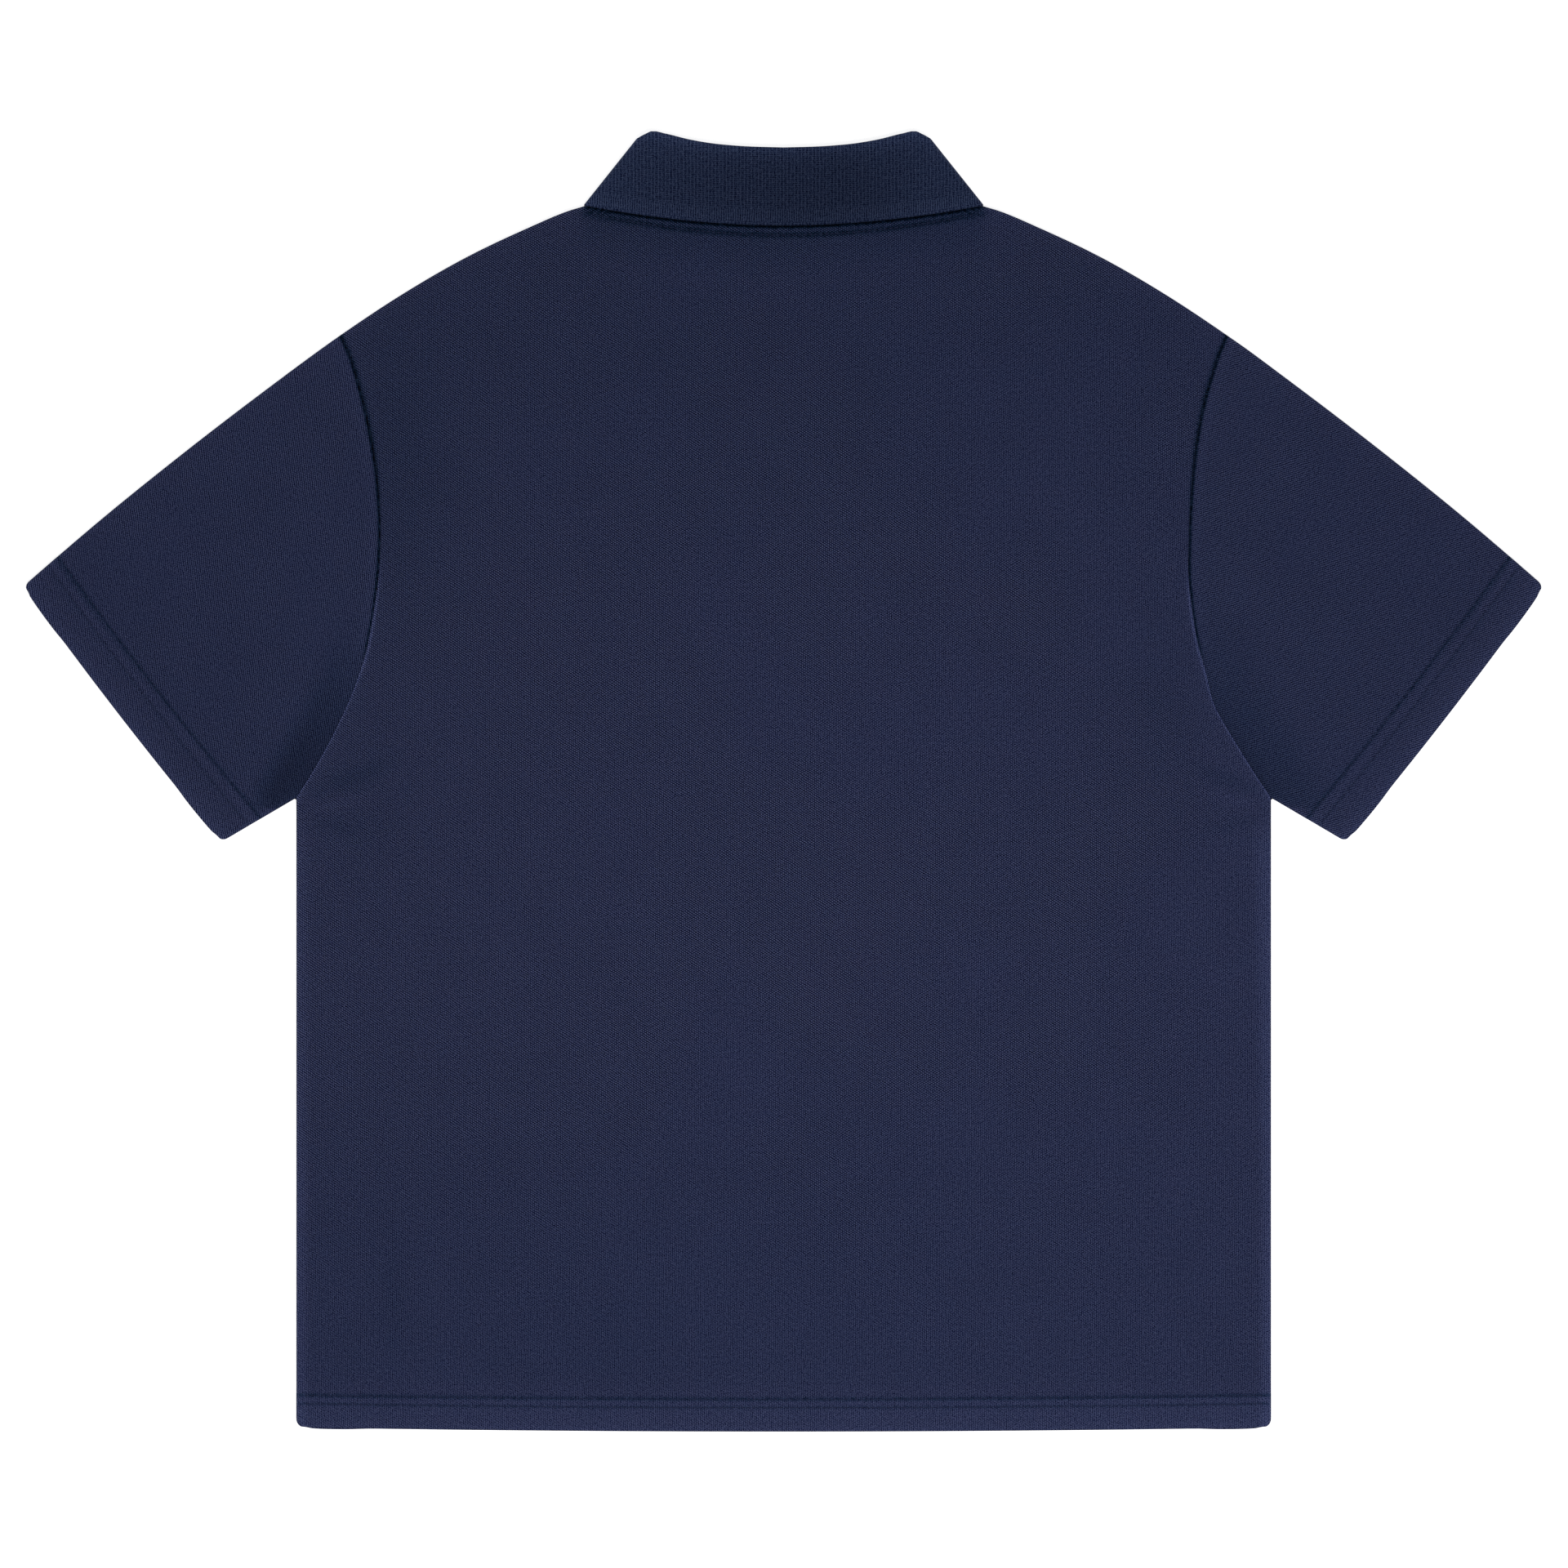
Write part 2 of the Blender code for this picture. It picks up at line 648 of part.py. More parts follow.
def disc(name, radius, depth, x, y, sides):
    """An upright cylinder whose middle lies half a button above the surface."""
    bpy.ops.mesh.primitive_cylinder_add(vertices=sides, radius=radius * MM, depth=depth * MM)
    made = bpy.context.object
    made.name = name
    made.location = (x * MM, y * MM, BUTTON_THICKNESS / 2 * MM)
    return made


def button(name, y, finish, cutters):
    piece = disc(name, BUTTON_RADIUS, BUTTON_THICKNESS, 0.0, y, BUTTON_SIDES)
    piece.data.materials.append(finish)
    rim = piece.modifiers.new("Rim", "BEVEL")
    rim.width = BUTTON_RIM * MM
    rim.segments = 1
    for index in range(THREAD_HOLES):
        angle = 2 * math.pi * (index + 0.5) / THREAD_HOLES
        x = THREAD_HOLE_RING * math.cos(angle)
        hole_y = y + THREAD_HOLE_RING * math.sin(angle)
        hole_name = f"{name}_hole_{index + 1}"
        depth = 2 * BUTTON_THICKNESS
        cutter = disc(hole_name, THREAD_HOLE_RADIUS, depth, x, hole_y, THREAD_HOLE_SIDES)
        cutter.hide_render = True
        cutter.display_type = "WIRE"
        move_to(cutter, cutters)
        piece.modifiers.new(f"Hole {index + 1}", "BOOLEAN").object = cutter
    return piece


def move_to(piece, collection):
    for holder in list(piece.users_collection):
        holder.objects.unlink(piece)
    collection.objects.link(piece)


def main():
    for old in list(bpy.data.objects):
        bpy.data.objects.remove(old)
    shirt = bpy.data.collections.new("polo_shirt")
    cutters = bpy.data.collections.new("polo_shirt_cutters")
    for collection in (shirt, cutters):
        bpy.context.scene.collection.children.link(collection)

    pique = material("navy_pique", NAVY, CLOTH_ROUGHNESS)
    knit = material("navy_flat_knit", NAVY_KNIT, CLOTH_ROUGHNESS)
    plastic = material("navy_button", NAVY_BUTTON, BUTTON_ROUGHNESS)
    pieces = [
        body_panel("back_panel", back_neck, pique, front=False),
        body_panel("front_panel", front_neck, pique, front=True),
        sleeve("sleeve_left", pique, left=True),
        sleeve("sleeve_right", pique, left=False),
        collar("collar", knit),
        placket("placket_over", PLACKET_HALF_WIDTH, 0.0, pique),
        placket("placket_under", UNDER_HALF_WIDTH, WALL + GAP, pique),
    ]
    for index in range(BUTTON_COUNT):
        y = TOP_BUTTON_Y - index * BUTTON_SPACING
        pieces.append(button(f"button_{index + 1}", y, plastic, cutters))
    for piece in pieces:
        move_to(piece, shirt)


main()
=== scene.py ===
"""The looks of the polo shirt: its cloth, knit collar, sewing and buttons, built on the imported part.

The shirt lies on its front. Each cloth solid is replaced by a thin shell on the same form, with finer
edges, seams and creases. Sizes are millimetres in the part's own frame, and meshes are in metres.
"""

import math

import bmesh
import bpy
import numpy as np
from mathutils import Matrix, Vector

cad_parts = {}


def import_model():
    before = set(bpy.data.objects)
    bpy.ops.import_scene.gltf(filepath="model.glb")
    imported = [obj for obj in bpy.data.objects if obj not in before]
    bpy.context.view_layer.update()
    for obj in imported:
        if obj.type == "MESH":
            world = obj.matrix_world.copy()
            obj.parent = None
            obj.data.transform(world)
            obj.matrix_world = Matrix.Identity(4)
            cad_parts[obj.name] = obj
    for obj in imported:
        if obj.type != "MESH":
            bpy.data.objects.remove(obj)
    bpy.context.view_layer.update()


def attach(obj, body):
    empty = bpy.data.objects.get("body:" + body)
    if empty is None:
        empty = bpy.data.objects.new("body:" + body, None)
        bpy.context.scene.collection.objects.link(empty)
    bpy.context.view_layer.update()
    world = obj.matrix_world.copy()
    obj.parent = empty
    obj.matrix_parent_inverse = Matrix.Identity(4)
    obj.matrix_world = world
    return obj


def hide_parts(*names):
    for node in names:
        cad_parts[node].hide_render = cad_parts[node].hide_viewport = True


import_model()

MM = 0.001

# ---- Sizes of the cut, as in the part ----

WALL = 1.2
HEM_WALL = 1.9
KNIT_WALL = 1.4
GAP = 0.3
CLOTH = 0.8  # the shells of single cloth are thinner than the solids' walls, with the same outside
HEM_CLOTH = 1.7

CHEST_WIDTH = 561.0
HEM_CENTRE_Y = -374.4
HEM_RISE = 2.4
HEM_BAND = 18.0
HEM_STEP = 4.0
CORNER_RADIUS = 5.0
UNDERARM_Y = -9.6
SHOULDER_TIP = (255.5, 256.4)
NECK_POINT = (100.0, 337.5)
BACK_NECK_Y = 327.5
FRONT_NECK_Y = 252.0
FRONT_NECK_POWER = 2.6

CUFF_LOW = (324.2, -35.4)
CUFF_HIGH = (438.2, 111.7)
CUFF_BOW = 1.7
CUFF_TRIM = 0.7  # the cuff's edge lies this far inside the line between its corners
CUFF_RADIUS = 4.0
SLEEVE_BAND = 25.0

COLLAR_SEAM_SIDE = (98.5, 338.0)
COLLAR_SIDE_CORNER = (115.2, 331.4)
COLLAR_POINT = (60.0, 226.0)
FALL_BACK_Y = 319.8
FALL_EDGE_POWER = 1.9
FRONT_STAND = 14.0
FRONT_END_X = 1.5
FRONT_ROLL_POWER = 1.9
ROLL_RADIUS = 2.1

PLACKET_HALF_WIDTH = 17.0
UNDER_HALF_WIDTH = 15.0
PLACKET_SLOT_X = 17.3
PLACKET_END_SIDE_Y = 94.0
PLACKET_END_GAP = 1.1
BUTTON_THICKNESS = 2.0
TOP_BUTTON_Y = 238.0
BUTTON_SPACING = 62.0
BUTTON_COUNT = 3

LIFT = BUTTON_THICKNESS + GAP
FLAT_HEIGHT = 2 * WALL + GAP
NECK_HEIGHT = LIFT + 3 * WALL + 2 * GAP + 0.1
EDGE_RISE = 1.3
EDGE_REACH = 35.0
LIFT_MARGIN = 18.0
LIFT_SKIRT = 35.0
BACK_SKIRT = 85.0
FOLD_POWER = 2.6
STAND_BACK_HEIGHT = NECK_HEIGHT - WALL / 2 - KNIT_WALL / 2
STAND_FRONT_HEIGHT = LIFT + WALL / 2 + KNIT_WALL / 2
FALL_EDGE_HEIGHT = NECK_HEIGHT + GAP + 0.1 + KNIT_WALL

ARMHOLE = (
    # y, half width
    (-9.6, 280.5),
    (4.5, 271.6),
    (26.6, 259.4),
    (50.0, 248.6),
    (64.0, 243.6),
    (94.7, 236.9),
    (137.0, 232.9),
    (172.0, 234.3),
    (200.5, 238.6),
    (228.7, 245.3),
    (246.0, 250.7),
    (256.4, 255.5),
)
SHOULDER = (
    # x, y
    (100.0, 337.5),
    (112.8, 331.5),
    (121.5, 329.0),
    (148.0, 318.0),
    (187.0, 299.2),
    (219.3, 280.4),
    (255.5, 256.4),
    (299.7, 224.0),
    (348.6, 186.4),
    (395.1, 148.8),
    (428.0, 120.6),
    (438.2, 111.7),
)
FALL_TOP = (
    # x, y
    (0.0, 363.4),
    (28.0, 364.3),
    (42.0, 365.5),
    (56.0, 367.6),
    (71.0, 370.8),
    (79.8, 371.9),
    (85.0, 369.3),
)
STAND_TOP = (
    # x, y
    (0.0, 362.5),
    (28.0, 363.5),
    (42.0, 364.8),
    (56.0, 367.2),
    (68.0, 370.2),
    (75.0, 371.2),
    (80.4, 367.7),
)

# ---- Sewing and creases ----

HEM_ROWS = (18.6, 13.8)  # stitch rows above the hem's edge
CUFF_ROWS = (26.0, 18.2)  # stitch rows in from the cuff's edge
ROW_DEPTHS = (0.32, 0.18)  # how far each of the two rows draws the cloth in
PLACKET_ROW_INSET = 2.2
STITCH_LIFT = 0.06  # of a stitch's middle over the upper cloth
STITCH_PITCH = 3.1
STITCH_LENGTH = 2.5
STITCH_WIDTH = 0.55
LOWEST_STITCH = 0.4 * STITCH_WIDTH  # the height of a stitch's middle when it touches the floor

SEAM_OVERLAP = 0.15  # how far the sleeve's edge goes under the body's at the armhole seam
LAYER_SPACE = 0.1  # the least room between the two layers, where a seam draws them together
UNDER_SHARE = 0.5  # how much of the sleeve's relief its lower layer shows

NECK_ROW_Y = 314.2  # the row of stitches below the collar's edge, at the centre back
NECK_ROW_RISE = 12.6
NECK_ROW_X = 113.0

BACK_CREASES = (
    # x0, y0, x1, y1, half width, height
    (-222.0, 246.0, -219.0, 150.0, 15.0, -0.8),
    (-226.0, -250.0, -229.0, -332.0, 9.0, -0.45),
    (-190.0, -60.0, -205.0, -215.0, 26.0, 0.5),
    (-120.0, -298.0, -52.0, -336.0, 22.0, -0.55),
    (-60.0, 60.0, -96.0, -170.0, 38.0, 0.6),
    (217.0, 240.0, 214.0, 130.0, 17.0, -0.65),
    (150.0, 212.0, 116.0, 150.0, 20.0, -0.4),
    (120.0, 20.0, 168.0, -130.0, 34.0, 0.6),
    (196.0, -150.0, 210.0, -300.0, 24.0, 0.5),
    (60.0, -250.0, 110.0, -330.0, 26.0, 0.35),
    (20.0, 160.0, 14.0, 20.0, 30.0, -0.35),
)
UNDERARM_CREASES = (
    # x0, y0, x1, y1, half width, height
    (-273.0, -8.0, -222.0, 13.0, 5.0, -0.55),
    (-271.0, -16.0, -234.0, -9.0, 3.5, 0.45),
    (-273.0, -22.0, -238.0, -30.0, 4.5, -0.4),
    (271.0, -6.0, 237.0, 9.0, 4.5, -0.5),
    (272.0, -14.0, 245.0, -8.0, 3.2, 0.45),
    (273.0, -21.0, 243.0, -29.0, 4.2, -0.35),
)
FRONT_CREASES = (
    # x0, y0, x1, y1, half width, height
    (-272.0, -8.0, -236.0, 6.0, 5.0, -0.4),
    (272.0, -12.0, 240.0, -4.0, 5.0, -0.4),
    (-150.0, 120.0, -190.0, 20.0, 26.0, -0.3),
    (140.0, -180.0, 176.0, -290.0, 24.0, -0.3),
)
# Soft patches of painted shade on the body
PATCHES = (
    # x, y, half width, half height, how much darker
    (-222.0, 180.0, 30.0, 90.0, 0.09),
    (-246.0, -8.0, 28.0, 46.0, 0.05),
    (218.0, 55.0, 26.0, 52.0, 0.05),
    (-225.0, -291.0, 6.0, 38.0, 0.05),
    (-98.0, -318.0, 48.0, 26.0, 0.035),
    (-30.0, 250.0, 120.0, 30.0, 0.02),
)
LEFT_SLEEVE_CREASES = (
    # x0, y0, x1, y1, half width, height, with x on the side of +X before the sleeve is mirrored
    (262.0, 212.0, 330.0, 160.0, 16.0, -0.45),
    (268.0, 60.0, 330.0, 20.0, 14.0, 0.5),
    (300.0, 130.0, 372.0, 80.0, 20.0, 0.45),
    (340.0, 152.0, 392.0, 118.0, 12.0, -0.3),
)
RIGHT_SLEEVE_CREASES = (
    # x0, y0, x1, y1, half width, height
    (262.0, 222.0, 318.0, 176.0, 14.0, 0.4),
    (270.0, 150.0, 350.0, 100.0, 18.0, -0.45),
    (276.0, 66.0, 338.0, 22.0, 14.0, 0.4),
    (346.0, 140.0, 398.0, 110.0, 12.0, 0.3),
)

RIGHT_ARMHOLE = (
    # y, how far the armhole on +X lies out from the other one's mirror image
    (-9.6, 0.0),
    (-1.6, -0.4),
    (9.6, -0.8),
    (21.0, -1.5),
    (32.0, -2.6),
    (43.5, -3.3),
    (50.0, -2.8),
    (58.0, -1.5),
    (66.0, -0.8),
    (83.0, -0.9),
    (105.0, -0.5),
    (122.0, 0.0),
    (134.0, 0.9),
    (151.0, 1.4),
    (173.0, 1.4),
    (190.0, 0.9),
    (218.0, 0.1),
    (241.0, 0.4),
    (256.4, 0.0),
)
ARMHOLE_REACH = 20.0  # how far from the seam the cloth goes along with it
FRAME_CENTRE = (0.19, -1.65)
FRAME_WIDTH = 1920 * 0.47  # the photo's pixels and the millimetres of each
LENS = 85.0
SENSOR = 36.0
CAMERA_DISTANCE = FRAME_WIDTH * LENS / SENSOR  # from the upper layer

# ---- Grid lines of the shells ----

RIM_STEPS = (0.0, 0.03, 0.12, 0.3, 0.6, 1.0, 1.5, 2.1, 3.0, 4.2, 6.0)
EDGE_STEPS = RIM_STEPS + (8.0, 10.0, 12.0, 14.0, 16.0, 18.5, 21.0, 24.0, 27.0, 31.0, 36.0)
COLLAR_EDGE_STEPS = (7.0, 7.4, 7.7, 8.0, 8.3, 8.6, 8.9, 9.3, 9.8, 10.5, 11.3)
NECK_ROW_STEPS = (11.9, 12.3, 12.6, 12.9, 13.2, 13.5, 13.8, 14.2, 14.8, 15.8, 17.5, 20.0)
TOP_STEPS = RIM_STEPS + COLLAR_EDGE_STEPS + NECK_ROW_STEPS
NECK_COLUMNS = (94.0, 97.0, 99.0, 100.0, 101.5, 104.0, 108.0, 112.0)


def hem_lines(rows, end):
    """Distances from a hem's edge: close together at the edge and at each row of stitches."""
    near_rows = [row + step for row in rows for step in (-1.6, -0.9, -0.4, 0.0, 0.4, 0.9, 1.6)]
    between = np.arange(9.0, end, 3.0)
    plain = [distance for distance in between if np.abs(np.subtract(rows, distance)).min() > 2.0]
    return sorted([*RIM_STEPS, *near_rows, *plain, end])


# ---- Small functions ----


def ease(share):
    share = np.clip(share, 0.0, 1.0)
    return share * share * (3.0 - 2.0 * share)


def curve(table):
    """A smooth function through the rows of a table."""
    across, along = np.array(table).T
    slopes = np.gradient(along, across)

    def at(place):
        row = np.clip(np.searchsorted(across, place, side="right") - 1, 0, len(across) - 2)
        width = across[row + 1] - across[row]
        t = np.clip((place - across[row]) / width, 0.0, 1.0)
        start = (1 + 2 * t) * (1 - t) ** 2 * along[row] + t * (1 - t) ** 2 * width * slopes[row]
        end = t * t * (3 - 2 * t) * along[row + 1] + t * t * (t - 1) * width * slopes[row + 1]
        return start + end

    return at


def corner_inset(distance, radius):
    """How far a rounded corner draws the outline in, this far from the edge."""
    reach = np.clip(radius - np.asarray(distance, float), 0.0, radius)
    return radius - np.sqrt(radius**2 - reach**2)


def fade(distance, start, reach):
    """1 up to the start, and soft down to 0 over the reach."""
    return 1 - ease((distance - start) / reach)


def hump(distance, width):
    """1 on a line, and soft down to 0 away from it."""
    return np.exp(-((distance / width) ** 2))


def points_at(x, y, z):
    return np.stack([x, y, z], axis=-1)


def step_lengths(points, axis=0):
    """The distances between neighbouring points."""
    return np.linalg.norm(np.diff(points, axis=axis), axis=-1)


def linked(name, data):
    """A new object in the scene."""
    made = bpy.data.objects.new(name, data)
    bpy.context.scene.collection.objects.link(made)
    return made


def nearest(x, y, run):
    """How far places lie from a run of points, and how far along it the nearest place is, 0 to 1."""
    place = np.stack(np.broadcast_arrays(x, y), axis=-1)[..., None, :]
    start, step = run[:-1], np.diff(run, axis=0)
    share = ((place - start) * step).sum(-1) / np.maximum((step**2).sum(-1), 1e-12)
    share = np.clip(share, 0, 1)
    off = np.linalg.norm(place - (start + share[..., None] * step), axis=-1)
    index = off.argmin(-1)
    along = (index + np.take_along_axis(share, index[..., None], -1)[..., 0]) / len(step)
    return off.min(-1), along


# ---- Plan of the shirt ----

armhole = curve(ARMHOLE)
shoulder = curve(SHOULDER)
fall_top = curve(FALL_TOP)
stand_top = curve(STAND_TOP)
right_armhole = curve(RIGHT_ARMHOLE)


def hem(x):
    return HEM_CENTRE_Y + HEM_RISE * (np.abs(x) / (CHEST_WIDTH / 2)) ** 2


def half_width(y):
    side = CHEST_WIDTH / 2 - corner_inset(y - hem(CHEST_WIDTH / 2), CORNER_RADIUS)
    return np.where(y < UNDERARM_Y, side, armhole(y))


def back_neck(x):
    return BACK_NECK_Y + (NECK_POINT[1] - BACK_NECK_Y) * (np.abs(x) / NECK_POINT[0]) ** 2


def front_neck(x):
    depth = NECK_POINT[1] - FRONT_NECK_Y
    return FRONT_NECK_Y + depth * (np.abs(x) / NECK_POINT[0]) ** FRONT_NECK_POWER


def collar_edge(x):
    """The y of the collar's lower edge."""
    corner_x, corner_y = COLLAR_SIDE_CORNER
    return FALL_BACK_Y + (corner_y - FALL_BACK_Y) * (np.abs(x) / corner_x) ** FALL_EDGE_POWER


def neck_row(x):
    """The y of the stitches below the collar's edge."""
    return NECK_ROW_Y + NECK_ROW_RISE * (np.abs(x) / NECK_ROW_X) ** 1.9


def sleeve_armhole(around):
    y = UNDERARM_Y + around * (SHOULDER_TIP[1] - UNDERARM_Y)
    return np.stack([armhole(y), y], axis=-1)


def sleeve_cuff(around):
    low, high = np.array(CUFF_LOW), np.array(CUFF_HIGH)
    outward = np.array([high[1] - low[1], low[0] - high[0]]) / np.hypot(*(high - low))
    share = np.asarray(around)[..., None]
    return low + share * (high - low) + (4 * share * (1 - share) * CUFF_BOW - CUFF_TRIM) * outward


def sleeve_length(around):
    span = sleeve_cuff(around) - sleeve_armhole(around)
    return np.hypot(span[..., 0], span[..., 1])


def sleeve_plan(around, along):
    """A place on the sleeve, from the four lines that bound it."""
    around, along = np.broadcast_arrays(np.asarray(around, float), np.asarray(along, float))
    top_x = SHOULDER_TIP[0] + along * (CUFF_HIGH[0] - SHOULDER_TIP[0])
    top = np.stack([top_x, shoulder(top_x)], axis=-1)
    start, end = sleeve_armhole(np.array(0.0)), np.array(CUFF_LOW)
    a, s = around[..., None], along[..., None]
    under = start + s * (end - start)
    sides = (1 - s) * sleeve_armhole(around) + s * sleeve_cuff(around) + (1 - a) * under + a * top
    tip, high = np.array(SHOULDER_TIP), np.array(CUFF_HIGH)
    corners = (1 - a) * ((1 - s) * start + s * end) + a * ((1 - s) * tip + s * high)
    return sides - corners


def folded_outline():
    """The line where the upper layer turns over to the lower one, in three runs on the side of +X."""
    side = np.array([(CHEST_WIDTH / 2, float(hem(CHEST_WIDTH / 2)) - 9.0), (CHEST_WIDTH / 2, UNDERARM_Y)])
    under = sleeve_plan(np.zeros(2), np.array([0.0, 1.05]))
    shoulder_x = np.linspace(NECK_POINT[0], SHOULDER_TIP[0], 60)
    top = sleeve_plan(np.ones(60), np.linspace(0.0, 1.02, 60))
    return side, under, np.concatenate([np.stack([shoulder_x, shoulder(shoulder_x)], axis=-1), top])


FOLDED_OUTLINE = folded_outline()
ARMHOLE_RUN = sleeve_armhole(np.linspace(0.0, 1.0, 60))


def fold_distance(x, y):
    """How far a place lies in from the folded outline. The rounded corners draw the outline in."""
    side, under, top = (nearest(np.abs(x), y, run)[0] for run in FOLDED_OUTLINE)
    side = side - corner_inset(y - hem(x), CORNER_RADIUS)
    inset = 0.99 * corner_inset(cuff_distance(x, y), CUFF_RADIUS)
    sleeve = np.minimum(under, top) - np.where(np.abs(x) > CHEST_WIDTH / 2, inset, 0.0)
    return np.maximum(np.minimum(side, sleeve), 0.0)


def cuff_distance(x, y):
    """How far a place lies in from the cuff's edge, which is slightly bowed."""
    low, high = np.array(CUFF_LOW), np.array(CUFF_HIGH)
    width = math.dist(low, high)
    over, up = (high - low) / width
    share = ((np.abs(x) - low[0]) * over + (y - low[1]) * up) / width
    straight = (y - low[1]) * over - (np.abs(x) - low[0]) * up
    return straight + 4 * np.clip(share * (1 - share), 0.0, 0.25) * CUFF_BOW - CUFF_TRIM


def raised(x, y, skirt):
    """1 over the collar's leaves and the placket, and 0 at the foot of the skirt around them."""
    across, up = np.array(COLLAR_SIDE_CORNER) - np.array(COLLAR_POINT)
    beside = (np.abs(x) - COLLAR_POINT[0]) * up - (y - COLLAR_POINT[1]) * across
    leaves = np.maximum(np.maximum(beside / math.hypot(across, up), COLLAR_POINT[1] - y), 0.0)
    beside = np.maximum(np.abs(x) - PLACKET_HALF_WIDTH, 0.0)
    strip = np.hypot(beside, np.maximum(PLACKET_END_SIDE_Y - y, 0.0))
    over_leaves, over_strip = fade(leaves, LIFT_MARGIN, skirt), fade(strip, LIFT_MARGIN, skirt)
    return over_leaves + over_strip - over_leaves * over_strip


def in_hem(x, y):
    """1 in the turned-up hems of body and sleeves, and 0 above them."""
    sleeve = fade(cuff_distance(x, y), SLEEVE_BAND, HEM_STEP)
    body = fade(y - hem(x), HEM_BAND, HEM_STEP)
    return np.where(np.abs(x) > CHEST_WIDTH / 2 + 0.1, sleeve, body)


def levels(x, y):
    """The heights of the garment's outside at a place: of its lower layer and of its upper one."""
    edge = fold_distance(x, y)
    near_neck = raised(x, y, BACK_SKIRT)
    lower = LIFT * raised(x, y, LIFT_SKIRT)
    upper = FLAT_HEIGHT + (NECK_HEIGHT - FLAT_HEIGHT) * near_neck
    upper = upper + EDGE_RISE * fade(edge, 0.0, EDGE_REACH) * (1 - near_neck)
    upper = upper + 2 * (HEM_WALL - WALL) * in_hem(x, y)
    middle, radius = (upper + lower) / 2, (upper - lower) / 2
    share = np.clip(edge / radius, 0.0, 1.0)
    height = radius * (1 - (1 - share) ** FOLD_POWER) ** (1 / FOLD_POWER)
    return middle - np.maximum(height, GAP / 2), middle + np.maximum(height, GAP / 2)


# ---- Relief of the cloth, and its painted light and shade ----


def creases(x, y, table):
    total = np.zeros(np.broadcast(x, y).shape)
    for x0, y0, x1, y1, width, height in table:
        off, along = nearest(x, y, np.array([(x0, y0), (x1, y1)]))
        total += height * hump(off, width) * (0.3 + 0.7 * np.sin(math.pi * along))
    return total


def hem_relief(rows, distance):
    """Rows of stitches that draw the cloth in."""
    return -sum(depth * hump(distance - row, 0.75) for row, depth in zip(rows, ROW_DEPTHS))


def armhole_seam(x, y):
    """How far a place lies from the armhole's seam, whether in its upper part, and how far up it."""
    off, up = nearest(np.abs(x), y, ARMHOLE_RUN)
    return np.where(y > UNDERARM_Y - 6.0, off, 99.0), ease((up - 0.34) / 0.16), up


def body_relief(x, y):
    """What the seams add to the body's outside: the armhole's lip, and the rows of the hem."""
    off, upper_part, _ = armhole_seam(x, y)
    groove = -0.9 * upper_part * hump(off, 0.8)
    lip = 0.25 * (1 - upper_part) * hump(off - 1.2, 1.4) - 0.25 * upper_part * hump(off, 5.0)
    return groove + lip + hem_relief(HEM_ROWS, y - hem(x))


def in_neck_row(x):
    """1 along the row of stitches below the collar, and 0 beside its ends."""
    return fade(np.abs(x), NECK_ROW_X, 6.0)


def back_relief(x, y):
    off = y - neck_row(x)
    neck = in_neck_row(x) * (-0.55 * hump(off, 1.1) + 0.22 * ease(off / 2.0))
    return body_relief(x, y) + neck + creases(x, y, BACK_CREASES + UNDERARM_CREASES)


def sleeve_relief(x, y, table, hollow=0.75):
    """The sleeve's lip is high beside the upper armhole, and the sleeve lies low beside the lower one."""
    off, upper_part, up = armhole_seam(x, y)
    lip = upper_part * (0.5 * hump(off - 1.4, 1.4) - 0.5 * hump(off, 0.4))
    valley = -hollow * (1 - upper_part) * hump(off, 7.0 + 9.0 * fade(up, 0.0, 0.3))
    rows = hem_relief(CUFF_ROWS, cuff_distance(x, y))
    return lip + valley + rows + creases(x, y, table)


def dressed(x, y, relief, under_relief):
    """The heights of the lower and upper layer with their relief, kept clear of each other."""
    lower, upper = levels(x, y)
    soft = ease(fold_distance(x, y) / 3.0)
    room = np.maximum(upper - lower - 2 * CLOTH - LAYER_SPACE, 0.0)
    upper = upper + np.maximum(relief * soft, -room)
    room = np.maximum(upper - lower - 2 * CLOTH - LAYER_SPACE, 0.0)
    return lower + np.clip(-under_relief * soft, 0.0, room), upper


def back_levels(x, y):
    return dressed(x, y, back_relief(x, y), body_relief(x, y) + creases(x, y, FRONT_CREASES))


def sleeve_levels(x, y, table):
    return dressed(x, y, sleeve_relief(x, y, table), UNDER_SHARE * sleeve_relief(x, y, ()))


def rim_light(x, y):
    """A painted highlight: the thin light line along a folded edge."""
    off = fold_distance(x, y)
    return 0.13 * hump(off - 1.0, 0.9) + 0.09 * np.exp(-off / 5.0)


def body_line_shading(x, y):
    """Painted light and shade in the seams: the armhole's painted dark groove and painted light lip, and
    painted shade along the hem's rows.
    """
    off, _, up = armhole_seam(x, y)
    groove = 0.8 * ease((up - 0.28) / 0.06) * hump(off, 0.65 + 1.2 * ease((up - 0.55) / 0.25))
    lower = fade(up, 0.42, 0.12)
    lip = 0.9 * hump(off - 0.1 - 1.2 * ease((up - 0.22) / 0.1), 0.7) + 0.12 * np.exp(-off / 2.5)
    from_hem = y - hem(x)
    rows = 0.45 * hump(from_hem - HEM_ROWS[0], 1.05) + 0.28 * hump(from_hem - HEM_ROWS[1], 0.9)
    return 1.0 - groove + lower * lip - rows


